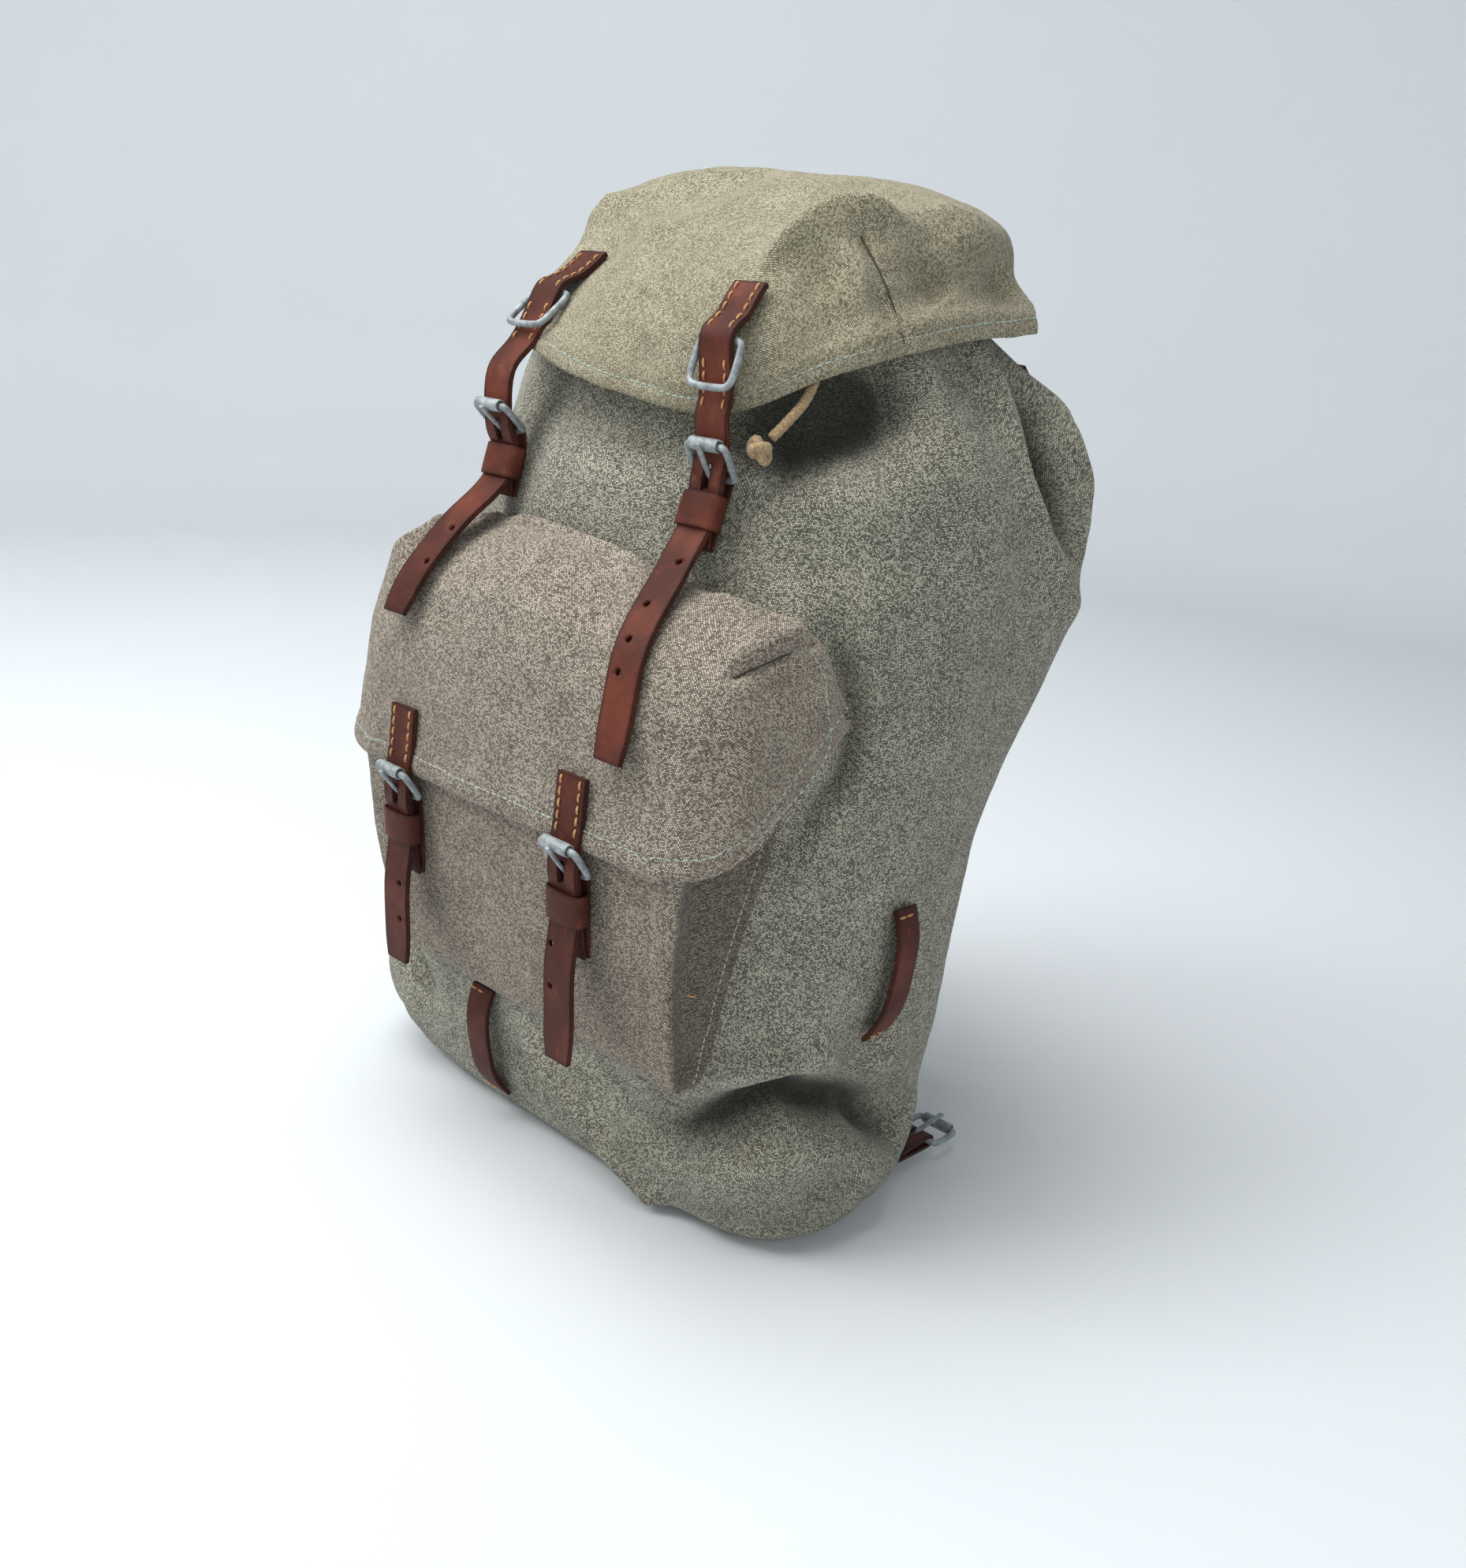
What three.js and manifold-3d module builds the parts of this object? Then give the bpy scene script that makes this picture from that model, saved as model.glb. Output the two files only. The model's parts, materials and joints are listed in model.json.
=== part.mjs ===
// Military backpack: a hollow cloth sack under a domed lid, with a flapped front pocket, leather straps in
// roller buckles, lash loops, a knotted draw cord, and shoulder straps and empty buckles behind.
// Millimetres, +Z up, front toward -Y. The origin lies on the standing surface, under the sack.

import * as THREE from "three";
import { mergeVertices } from "three/addons/utils/BufferGeometryUtils.js";
import Module from "manifold-3d";

const wasm = await Module();
wasm.setup();

// Walls and clearances
const CLOTH = 2;
const LEATHER = 3;
const THIN_LEATHER = 2.2;
const GAP = 0.4;
const LAY = 0.9;
const TINY = 1e-4;

// Sack: one row for each section, from the base to the gathered mouth.
// half: half width; front, wide, back: depth of the front, of the widest line and of the back;
// bluntFront, bluntBack: how square the section is; gather: depth of the mouth's pleats.
const BODY_COLUMNS = 44;
const BASE_RINGS = [0.4, 0.75];
const MOUTH_GATHERS = 11;
const OUTLINE_STEPS = 120;
const BODY_SECTIONS = [
  { z: 0, half: 156, front: -63, wide: 14, back: 80, bluntFront: 4.2, bluntBack: 4.4, gather: 0 },
  { z: 10, half: 167, front: -75, wide: 13, back: 90, bluntFront: 4.0, bluntBack: 4.6, gather: 0 },
  { z: 30, half: 172, front: -83, wide: 12, back: 96, bluntFront: 3.8, bluntBack: 4.8, gather: 0 },
  { z: 60, half: 174, front: -89, wide: 12, back: 97, bluntFront: 3.8, bluntBack: 5.0, gather: 0 },
  { z: 100, half: 174, front: -93, wide: 14, back: 98, bluntFront: 3.7, bluntBack: 5.0, gather: 0 },
  { z: 145, half: 174, front: -95, wide: 18, back: 101, bluntFront: 3.4, bluntBack: 5.0, gather: 0 },
  { z: 190, half: 174, front: -95, wide: 24, back: 109, bluntFront: 3.2, bluntBack: 5.0, gather: 0 },
  { z: 230, half: 175, front: -93, wide: 32, back: 119, bluntFront: 3.0, bluntBack: 5.0, gather: 0 },
  { z: 265, half: 178, front: -90, wide: 38, back: 137, bluntFront: 3.0, bluntBack: 5.2, gather: 0 },
  { z: 300, half: 181, front: -86, wide: 46, back: 155, bluntFront: 2.9, bluntBack: 5.6, gather: 0 },
  { z: 340, half: 183, front: -80, wide: 54, back: 171, bluntFront: 2.6, bluntBack: 6.0, gather: 0 },
  { z: 380, half: 182, front: -71, wide: 62, back: 182, bluntFront: 2.1, bluntBack: 6.0, gather: 0 },
  { z: 410, half: 178, front: -64, wide: 64, back: 182, bluntFront: 2.0, bluntBack: 5.4, gather: 1 },
  { z: 438, half: 169, front: -56, wide: 60, back: 171, bluntFront: 2.0, bluntBack: 4.8, gather: 2 },
  { z: 462, half: 157, front: -46, wide: 54, back: 153, bluntFront: 2.1, bluntBack: 4.2, gather: 3 },
  { z: 480, half: 144, front: -36, wide: 48, back: 136, bluntFront: 2.2, bluntBack: 3.6, gather: 3.5 },
  { z: 494, half: 132, front: -30, wide: 46, back: 121, bluntFront: 2.2, bluntBack: 3.0, gather: 3 },
];
// Dents (depth inward) and bulges (negative depth) along lines on the sack; spread: half width of the fold.
const BODY_FOLDS = [
  { from: [128, -92, 84], to: [176, -20, 88], depth: 7, spread: 20 },
  { from: [176, -20, 88], to: [176, 50, 56], depth: 13, spread: 22 },
  { from: [140, -74, 14], to: [170, 0, 26], depth: -13, spread: 34 },
  { from: [-142, -80, 36], to: [-168, -20, 66], depth: -15, spread: 36 },
  { from: [150, 60, 478], to: [182, 100, 385], depth: 15, spread: 24 },
  { from: [-150, 60, 478], to: [-182, 100, 385], depth: 15, spread: 24 },
  { from: [-20, -66, 434], to: [120, -50, 430], depth: 4, spread: 20 },
  { from: [60, -64, 398], to: [120, -50, 398], depth: 5, spread: 30 },
  { from: [-110, -56, 400], to: [-50, -68, 396], depth: -5, spread: 34 },
  { from: [178, 120, 235], to: [120, 140, 225], depth: 7, spread: 24 },
];

// Lid: ribs from the crown over a shoulder to the rim, from front centre round the right side.
const LID_CROWN = [0, 58, 566];
const LID_COLUMNS_PER_RIB = 3;
const LID_STEPS = [0, 0.16, 0.32, 0.46, 0.6, 0.74, 0.88, 1];
const LID_RIBS = [
  { rim: [0, -70, 446], shoulder: [0, -31, 510] },
  { rim: [76, -54, 440], shoulder: [70, -36, 507] },
  { rim: [114, -34, 460], shoulder: [104, 2, 533] },
  { rim: [140, 6, 476], shoulder: [117, 30, 536] },
  { rim: [148, 58, 486], shoulder: [120, 66, 545] },
  { rim: [143, 112, 492], shoulder: [111, 104, 549] },
  { rim: [0, 124.8, 494], shoulder: [0, 116, 549] },
  { rim: [-145, 112, 493], shoulder: [-124, 102, 556] },
  { rim: [-148, 58, 488], shoulder: [-128, 58, 551] },
  { rim: [-138, 4, 479], shoulder: [-120, 26, 534] },
  { rim: [-110, -34, 471], shoulder: [-101, 2, 514] },
  { rim: [-72, -58, 462], shoulder: [-67, -16, 506] },
];
const LID_FOLDS = [
  { from: [116, -30, 480], to: [118, 0, 522], depth: 5, spread: 15 },
  { from: [-116, -30, 480], to: [-118, 0, 522], depth: 5, spread: 15 },
  { from: [70, 10, 535], to: [108, 12, 535], depth: -5, spread: 16 },
  { from: [150, 70, 515], to: [138, 90, 525], depth: 6, spread: 18 },
];

// Pocket: one row for each section; half: half width at the seams; front: depth of the front panel.
// The left half of pocket and flap is narrower, drawn in by its strap.
const POCKET_COLUMNS = 26;
const POCKET_BLUNT = 8;
const POCKET_LEFT_SHARE = 0.88;
const POCKET_SECTIONS = [
  { z: 94, half: 123, front: -96 },
  { z: 96, half: 125, front: -102 },
  { z: 102, half: 127, front: -105 },
  { z: 135, half: 132, front: -115 },
  { z: 180, half: 138, front: -125 },
  { z: 232, half: 144, front: -129 },
  { z: 280, half: 147, front: -124 },
  { z: 318, half: 146, front: -113 },
];

// Flap: ribs from its seam on the sack (width, height) over crest and shoulder to the hem, from the centre
// to the right end.
const FLAP_COLUMNS_PER_RIB = 3;
const FLAP_STEPS = 9;
const FLAP_TILT = -0.06;
const FLAP_RIBS = [
  { seam: [0, 362], crest: [0, -99, 361], shoulder: [0, -128, 330], hem: [0, -136, 229] },
  { seam: [72, 360], crest: [72, -94, 356], shoulder: [74, -124, 325], hem: [75, -135, 230] },
  { seam: [122, 353], crest: [125, -86, 353], shoulder: [138, -117, 322], hem: [141, -131, 232] },
  { seam: [138, 348], crest: [144, -75, 349], shoulder: [155, -100, 317], hem: [157, -111, 240] },
  { seam: [148, 345], crest: [154, -64, 345], shoulder: [163, -76, 315], hem: [164, -76, 270] },
  { seam: [156, 341], crest: [159, -50, 338], shoulder: [165, -52, 322], hem: [167, -46, 304] },
];

// Roller buckles: wire frame, sheet roller and flat tongue, with a chape and a keeper of leather
const WIRE = 2;
const BUCKLE_WIDTH = 27;
const BUCKLE_CORNER = 3.4;
const ROLLER_LENGTH = 19.4;
const ROLLER_OUTER = 3.7;
const ROLLER_CLEAR = 1.2;
const ROLLER_INNER = 2.6;
const TONGUE_WIDTH = 3.2;
const TONGUE_THICK = 1.6;
const CHAPE_WIDTH = 18;
const CHAPE_SLOT = 4.8;
const KEEPER_THICK = 2;
const KEEPER_HEIGHT = 18;
const KEEPER_ROUND = 1.6;
const ROUND_SIDES = 10;
const WIRE_SIDES = 6;
const HOOK_STEPS = 6;
const HOOK_TURN = 1.5 * Math.PI;
const SLOT_LENGTH = 15;
const SLOT_SHIFT = -1;
const STRAP_HOLE = [4.8, 11, 16];
const STRAP_HOLE_RISE = 4;

// Strap runs. above and below: places of the strap's back face before and after the buckle, pushed out to
// clear the cloth; x, heel: place and height of the buckle's held bar; tilt: how far the frame stands off;
// slack: extra room under the held bar; chape: length of the chape below the keeper's middle.
const STRAP_WIDTH = 21;
const STRAP_STEPS_PER_PLACE = 2;
const STRAP_TIP = 0.82;
const BUCKLE_LENGTH = 20;
const KEEPER_DROP = 18;
const LID_STRAPS = {
  right: {
    x: 76, heel: 407, tilt: 50, slack: 0, chape: 18,
    ring: { top: 501, high: 486, held: 475, free: 454 },
    above: [[76, 0, 459], [76, 0, 448], [76, -62, 438]],
    below: [
      [77, -78, 370], [81, -90, 359], [86, -106, 346], [91, -122, 328], [95, -130, 304], [98, -138, 278],
    ],
  },
  left: {
    x: -73, heel: 413, tilt: 64, slack: 5, chape: 18,
    ring: { top: 511, high: 498, held: 488, free: 468 },
    above: [[-73, 0, 472], [-73, -62, 460], [-74, -74, 448]],
    below: [[-73, -86, 377], [-75, -98, 367], [-78, -112, 351], [-80, -126, 333], [-83, -134, 314]],
  },
};
const POCKET_STRAPS = {
  right: {
    x: 71, heel: 213, tilt: 32, slack: 0, chape: 30,
    above: [[71, 0, 264], [71, 0, 250], [71, 0, 240]],
    below: [[71, -137, 160], [71, -135, 132], [70, -133, 105]],
  },
  left: {
    x: -71, heel: 213, tilt: 32, slack: 0, chape: 30,
    above: [[-71, 0, 264], [-71, 0, 250], [-71, 0, 240]],
    below: [[-71, -137, 160], [-72, -135, 134], [-73, -133, 109]],
  },
};

// Rings under the lid straps; the straps' rows give the heights of the sewn end and of the ring's two bars
const RING_WIDTH = 29;
const RING_CORNER = 5;

// Lash loops, back yoke, shoulder straps and empty buckles
const LOOP_RISE = 7.5;
const LOOP_SHAPE = [0, 0.7, 1, 1, 1, 1, 0.7, 0];
const SIDE_LOOP = { y: [11, 0], z: [193, 120], width: 18 };
const BOTTOM_LOOP = { x: [-42, -38], z: [91, 21], width: 19 };
const YOKE = { half: 124, z: [472, 454], lay: 2, steps: 12 };
const SHOULDER_STRAP = { x: [42, 84], z: [450, 96], width: 36, hang: 184, free: 370, lay: 2, steps: 18 };
const BACK_BUCKLE = { x: 154, z: 13, reach: 12, length: 22, root: 20 };

// Draw cord: its route from the mouth to the knot
const CORD_RADIUS = 2.7;
const CORD_SIDES = 8;
const CORD_ROUTE = [
  [100, -14.4, 483], [104, -18, 474], [107, -23, 463], [108, -31, 450], [105, -40, 439], [102, -47, 431],
];
const KNOT_RADIUS = 8;

// Finishes
const FINISH = {
  sackCloth: { color: 0x6f7268, roughness: 0.95, metalness: 0 },
  lidCloth: { color: 0x77745c, roughness: 0.95, metalness: 0 },
  pocketCloth: { color: 0x857a70, roughness: 0.95, metalness: 0 },
  leather: { color: 0x5b3526, roughness: 0.65, metalness: 0 },
  metal: { color: 0x83847f, roughness: 0.5, metalness: 0.85 },
  cord: { color: 0x9a8262, roughness: 0.9, metalness: 0 },
};

const backpack = new THREE.Group();
const X = new THREE.Vector3(1, 0, 0);
const FRONT = new THREE.Vector3(0, -1, 0);
const BACK = new THREE.Vector3(0, 1, 0);
const DOWN = new THREE.Vector3(0, 0, -1);
const UP = new THREE.Vector3(0, 0, 1);
const FAR = 1000;
const SIDES = { right: 1, left: -1 };
const ACROSS = [-0.5, -0.25, 0, 0.25, 0.5];
const point = (coordinates) => new THREE.Vector3(...coordinates);
const power = (value, exponent) => Math.sign(value) * Math.abs(value) ** exponent;
const mix = THREE.MathUtils.lerp;

// Geometry from points and triangles, with its faces turned outward
function closed(points, triangles) {
  const same = (a, b) => points[a].distanceTo(points[b]) < TINY;
  const kept = triangles.filter(([a, b, c]) => !same(a, b) && !same(b, c) && !same(c, a));
  let volume = 0;
  for (const [a, b, c] of kept) {
    volume += points[a].dot(points[b].clone().cross(points[c]));
  }
  const index = kept.flatMap(([a, b, c]) => (volume > 0 ? [a, b, c] : [a, c, b]));
  const geometry = new THREE.BufferGeometry().setFromPoints(points);
  geometry.setIndex(index);
  return mergeVertices(geometry, TINY);
}

// Wall between two grids of points; wrap joins the ends of each row, pole marks a first row of one point
function wall(outer, inner, { wrap = false, pole = false } = {}) {
  const rows = outer.length;
  const columns = outer[0].length;
  const points = [...outer.flat(), ...inner.flat()];
  const offset = rows * columns;
  const triangles = [];
  const quad = (a, b, c, d) => triangles.push([a, b, c], [a, c, d]);
  const at = (row, column) => row * columns + (column % columns);
  const spans = wrap ? columns : columns - 1;
  for (let row = 0; row < rows - 1; row += 1) {
    for (let column = 0; column < spans; column += 1) {
      const corners = [at(row, column), at(row, column + 1), at(row + 1, column + 1), at(row + 1, column)];
      quad(...corners);
      quad(...corners.map((corner) => corner + offset).reverse());
    }
    if (!wrap) {
      const last = columns - 1;
      quad(at(row, 0), at(row + 1, 0), at(row + 1, 0) + offset, at(row, 0) + offset);
      quad(at(row + 1, last), at(row, last), at(row, last) + offset, at(row + 1, last) + offset);
    }
  }
  for (let column = 0; column < spans; column += 1) {
    const last = rows - 1;
    if (!pole) {
      quad(at(0, column + 1), at(0, column), at(0, column) + offset, at(0, column + 1) + offset);
    }
    quad(at(last, column), at(last, column + 1), at(last, column + 1) + offset, at(last, column) + offset);
  }
  return closed(points, triangles);
}

// Grid moved inward along its normals; a pole row moves along the given direction
function inset(grid, depth, { wrap = false, pole = null } = {}) {
  const all = grid.flat();
  const middle = all.reduce((sum, each) => sum.add(each), new THREE.Vector3()).divideScalar(all.length);
  const columns = grid[0].length;
  return grid.map((row, r) => row.map((each, c) => {
    const before = row[wrap ? (c + columns - 1) % columns : Math.max(c - 1, 0)];
    const after = row[wrap ? (c + 1) % columns : Math.min(c + 1, columns - 1)];
    const rise = grid[Math.min(r + 1, grid.length - 1)][c].clone().sub(grid[Math.max(r - 1, 0)][c]);
    const normal = pole && r === 0 ? pole.clone() : after.clone().sub(before).cross(rise).normalize();
    if (normal.dot(each.clone().sub(middle)) < 0) {
      normal.negate();
    }
    return each.clone().addScaledVector(normal, -depth);
  }));
}

// Solid swept through rings of points; without loop the two end rings are capped
function sweep(rings, loop = false) {
  const sides = rings[0].length;
  const triangles = [];
  const spans = loop ? rings.length : rings.length - 1;
  for (let ring = 0; ring < spans; ring += 1) {
    const next = (ring + 1) % rings.length;
    for (let side = 0; side < sides; side += 1) {
      const turn = (side + 1) % sides;
      const [a, b] = [ring * sides + side, ring * sides + turn];
      const [c, d] = [next * sides + turn, next * sides + side];
      triangles.push([a, b, c], [a, c, d]);
    }
  }
  if (!loop) {
    const last = (rings.length - 1) * sides;
    for (let side = 1; side < sides - 1; side += 1) {
      triangles.push([0, side + 1, side], [last, last + side, last + side + 1]);
    }
  }
  return closed(rings.flat(), triangles);
}

// Flat strip along a line of points: its back face follows the line, its thickness goes to the outer side
function strip(line, { width, thick, across = X, loop = false, tip = 1 }) {
  const count = line.length;
  const rings = line.map((each, i) => {
    const before = line[loop ? (i + count - 1) % count : Math.max(i - 1, 0)];
    const after = line[loop ? (i + 1) % count : Math.min(i + 1, count - 1)];
    const side = Array.isArray(across) ? across[i] : across;
    const out = after.clone().sub(before).cross(side).normalize();
    const half = (width / 2) * (!loop && i === count - 1 ? tip : 1);
    const corner = (reach, rise) => each.clone().addScaledVector(side, reach).addScaledVector(out, rise);
    return [corner(-half, 0), corner(half, 0), corner(half, thick), corner(-half, thick)];
  });
  return sweep(rings, loop);
}

// Place on the object: origin, direction along, direction across and the outer side
class Seat {
  constructor(origin, along, across = X) {
    this.origin = origin;
    this.along = along.clone().normalize();
    this.across = across;
    this.out = this.along.clone().cross(across).normalize();
  }

  at(u, v, n) {
    const place = this.origin.clone().addScaledVector(this.across, u);
    return place.addScaledVector(this.along, v).addScaledVector(this.out, n);
  }

  place(geometry, v, n) {
    const matrix = new THREE.Matrix4().makeBasis(this.across, this.along, this.out.clone().negate());
    return geometry.applyMatrix4(matrix.setPosition(this.at(0, v, n)));
  }
}

// Outline of a rectangle with round corners, from v = -length to v = 0
function roundRectangle(width, length, radius, steps = 2) {
  const outline = [];
  const centres = [[1, 0, 0], [-1, 0, 1], [-1, -1, 2], [1, -1, 3]];
  for (const [side, end, quarter] of centres) {
    const u = side * (width / 2 - radius);
    const v = end === 0 ? -radius : radius - length;
    for (let step = 0; step <= steps; step += 1) {
      const angle = (quarter + step / steps) * (Math.PI / 2);
      outline.push([u + radius * Math.cos(angle), v + radius * Math.sin(angle)]);
    }
  }
  return outline;
}

// Closed wire through an outline on a seat
function wireLoop(seat, outline, radius) {
  const count = outline.length;
  const rings = outline.map(([u, v], i) => {
    const [u0, v0] = outline[(i + count - 1) % count];
    const [u1, v1] = outline[(i + 1) % count];
    const normal = new THREE.Vector2(v1 - v0, u0 - u1).normalize();
    return Array.from({ length: WIRE_SIDES }, (_, k) => {
      const angle = (k / WIRE_SIDES) * Math.PI * 2;
      const side = radius * Math.cos(angle);
      return seat.at(u + normal.x * side, v + normal.y * side, radius * Math.sin(angle));
    });
  });
  return sweep(rings, true);
}

// Tube with a clear bore, lying across a seat
function rollerTube(seat, v) {
  const half = ROLLER_LENGTH / 2;
  const profile = [[ROLLER_INNER, -half], [ROLLER_OUTER, -half], [ROLLER_OUTER, half], [ROLLER_INNER, half]];
  const outline = [...profile, profile[0]].map(([x, y]) => new THREE.Vector2(x, y));
  const tube = new THREE.LatheGeometry(outline, ROUND_SIDES).rotateZ(-Math.PI / 2);
  return seat.place(tube, v, 0);
}

// Cutting, on merged vertices
function solid(geometry) {
  const bare = geometry.clone();
  bare.deleteAttribute("normal");
  bare.deleteAttribute("uv");
  const merged = mergeVertices(bare, TINY);
  const vertProperties = new Float32Array(merged.attributes.position.array);
  const triVerts = new Uint32Array(merged.index.array);
  return new wasm.Manifold(new wasm.Mesh({ numProp: 3, vertProperties, triVerts }));
}

function cut(geometry, ...cutters) {
  const left = cutters.reduce((rest, cutter) => rest.subtract(solid(cutter)), solid(geometry));
  const { vertProperties, triVerts } = left.getMesh();
  const result = new THREE.BufferGeometry();
  result.setAttribute("position", new THREE.BufferAttribute(new Float32Array(vertProperties), 3));
  result.setIndex(Array.from(triVerts));
  return result;
}

function piece(name, geometry, finish) {
  geometry.computeVertexNormals();
  const mesh = new THREE.Mesh(geometry, new THREE.MeshStandardMaterial(FINISH[finish]));
  mesh.name = name;
  backpack.add(mesh);
  return mesh;
}

// Point moved toward an upright axis by the folds that pass near it
function folded(place, folds, axisY) {
  const inward = new THREE.Vector3(-place.x, axisY - place.y, 0).normalize();
  const near = new THREE.Vector3();
  let depth = 0;
  for (const fold of folds) {
    new THREE.Line3(point(fold.from), point(fold.to)).closestPointToPoint(place, true, near);
    depth += fold.depth * Math.exp(-((place.distanceTo(near) / fold.spread) ** 2));
  }
  return place.clone().addScaledVector(inward, depth);
}

function bodyOutline(row) {
  const outline = Array.from({ length: 2 * OUTLINE_STEPS + 1 }, (_, i) => {
    const angle = (i / OUTLINE_STEPS) * Math.PI;
    const ahead = Math.cos(angle) >= 0;
    const exponent = 2 / (ahead ? row.bluntFront : row.bluntBack);
    const depth = ahead ? row.wide - row.front : row.back - row.wide;
    const x = row.half * power(Math.sin(angle), exponent);
    return new THREE.Vector2(x, row.wide - depth * power(Math.cos(angle), exponent));
  });
  return new THREE.Path(outline).getSpacedPoints(BODY_COLUMNS).slice(0, BODY_COLUMNS);
}

function bodyRing(row) {
  return bodyOutline(row).map(({ x, y }, column) => {
    const pleat = row.gather * Math.cos((column / BODY_COLUMNS) * Math.PI * 2 * MOUTH_GATHERS);
    const away = new THREE.Vector3(x, y - row.wide, 0).normalize();
    return folded(new THREE.Vector3(x, y, row.z).addScaledVector(away, pleat), BODY_FOLDS, row.wide);
  });
}

function bodyGrid() {
  const base = BODY_SECTIONS[0];
  const rim = bodyRing(base);
  const centre = new THREE.Vector3(0, base.wide, base.z);
  const inside = [0, ...BASE_RINGS].map((share) => rim.map((each) => centre.clone().lerp(each, share)));
  return [...inside, rim, ...BODY_SECTIONS.slice(1).map(bodyRing)];
}

// First place where a sight line meets the given pieces
const caster = new THREE.Raycaster();
function sight(pieces, origin, direction) {
  caster.set(origin, direction);
  return caster.intersectObjects(pieces, false)[0].point;
}

// Foremost depth of the given pieces at a height, over a width
function frontOf(pieces, x, z, width = 0) {
  const hits = ACROSS.map((share) => sight(pieces, new THREE.Vector3(x + share * width, -FAR, z), BACK).y);
  return Math.min(...hits);
}

// Curve through places mirrored to the left; share scales the left half
function mirrored(right, share) {
  const left = right.slice(1).map((each) => each.clone().setX(-each.x * share)).reverse();
  return new THREE.CatmullRomCurve3([...left, ...right], false, "centripetal");
}

function lidGrid() {
  const [rim, shoulder] = ["rim", "shoulder"].map((key) => {
    const places = LID_RIBS.map((rib) => point(rib[key]));
    return new THREE.CatmullRomCurve3(places, true, "centripetal");
  });
  const crown = point(LID_CROWN);
  const columns = rim.points.length * LID_COLUMNS_PER_RIB;
  return LID_STEPS.map((step) => Array.from({ length: columns }, (_, column) => {
    const low = rim.getPoint(column / columns);
    const high = shoulder.getPoint(column / columns);
    const pull = high.clone().multiplyScalar(2).sub(crown.clone().add(low).multiplyScalar(0.5));
    const place = new THREE.QuadraticBezierCurve3(crown, pull, low).getPoint(step);
    return step === 0 ? place : folded(place, LID_FOLDS, crown.y);
  }));
}

// Point kept in front of the sack by a clearance
function aheadOfBody(place, clearance) {
  const limit = frontOf([body], place.x, place.z) - clearance;
  return place.clone().setY(Math.min(place.y, limit));
}

function pocketGrid() {
  return POCKET_SECTIONS.map((row) => {
    const seam = frontOf([body], row.half, row.z);
    const outline = Array.from({ length: OUTLINE_STEPS + 1 }, (_, i) => {
      const angle = (i / OUTLINE_STEPS - 0.5) * Math.PI;
      const half = row.half * (angle < 0 ? POCKET_LEFT_SHARE : 1);
      const x = half * power(Math.sin(angle), 2 / POCKET_BLUNT);
      return new THREE.Vector2(x, mix(seam, row.front, power(Math.cos(angle), 2 / POCKET_BLUNT)));
    });
    return new THREE.Path(outline).getSpacedPoints(POCKET_COLUMNS).map(({ x, y }) => (
      aheadOfBody(new THREE.Vector3(x, y, row.z), GAP)));
  });
}

function flapGrid() {
  const seams = FLAP_RIBS.map(({ seam: [x, z] }) => aheadOfBody(new THREE.Vector3(x, FAR, z), GAP + CLOTH));
  const rest = ["crest", "shoulder", "hem"].map((key) => FLAP_RIBS.map((rib) => point(rib[key])));
  const lines = [seams, ...rest].map((places) => mirrored(places, POCKET_LEFT_SHARE));
  const columns = (lines[0].points.length - 1) * FLAP_COLUMNS_PER_RIB;
  const spot = (share, along) => {
    const controls = lines.map((line) => line.getPoint(along));
    const place = new THREE.CatmullRomCurve3(controls, false, "centripetal").getPoint(share);
    place.z += FLAP_TILT * place.x * (1 - share);
    return aheadOfBody(place, GAP + CLOTH);
  };
  return Array.from({ length: FLAP_STEPS }, (_, step) => (
    Array.from({ length: columns + 1 }, (__, column) => spot(step / (FLAP_STEPS - 1), column / columns))));
}

const bodyOuter = bodyGrid();
const bodyInner = inset(bodyOuter, CLOTH, { wrap: true, pole: DOWN });
const body = piece("bag_body", wall(bodyOuter, bodyInner, { wrap: true, pole: true }), "sackCloth");

const lidOuter = lidGrid();
const lidInner = inset(lidOuter, CLOTH, { wrap: true, pole: UP });
const lid = piece("lid", wall(lidOuter, lidInner, { wrap: true, pole: true }), "lidCloth");

// The sack grown by the clearance, which trims what is sewn to it
const bodyRoom = sweep(inset(bodyOuter, -GAP, { wrap: true, pole: DOWN }));

const pocketOuter = pocketGrid();
const pocketWall = wall(pocketOuter, inset(pocketOuter, CLOTH));
const pocket = piece("pocket_body", cut(pocketWall, bodyRoom), "pocketCloth");

const flapOuter = flapGrid();
const flapWall = wall(flapOuter, inset(flapOuter, CLOTH));
const flap = piece("pocket_flap", cut(flapWall, bodyRoom), "pocketCloth");

// Place off the front of the lid by a rise square to its slope
function offLid(x, z, rise, width) {
  const [low, high] = [z - WIRE, z + WIRE].map((level) => frontOf([lid], x, level, width));
  const normal = new THREE.Vector3(0, -2 * WIRE, high - low).normalize();
  return new THREE.Vector3(x, frontOf([lid], x, z, width), z).addScaledVector(normal, rise);
}

// Metal ring held under a lid strap, from its held bar to its free bar
function lidRing(name, { x, ring }) {
  const held = offLid(x, ring.held, LAY + WIRE, RING_WIDTH);
  const free = offLid(x, ring.free, LAY + LEATHER + LAY + GAP + WIRE, RING_WIDTH);
  const seat = new Seat(free, free.clone().sub(held));
  piece(name, wireLoop(seat, roundRectangle(RING_WIDTH, free.distanceTo(held), RING_CORNER), WIRE), "metal");
}

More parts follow.
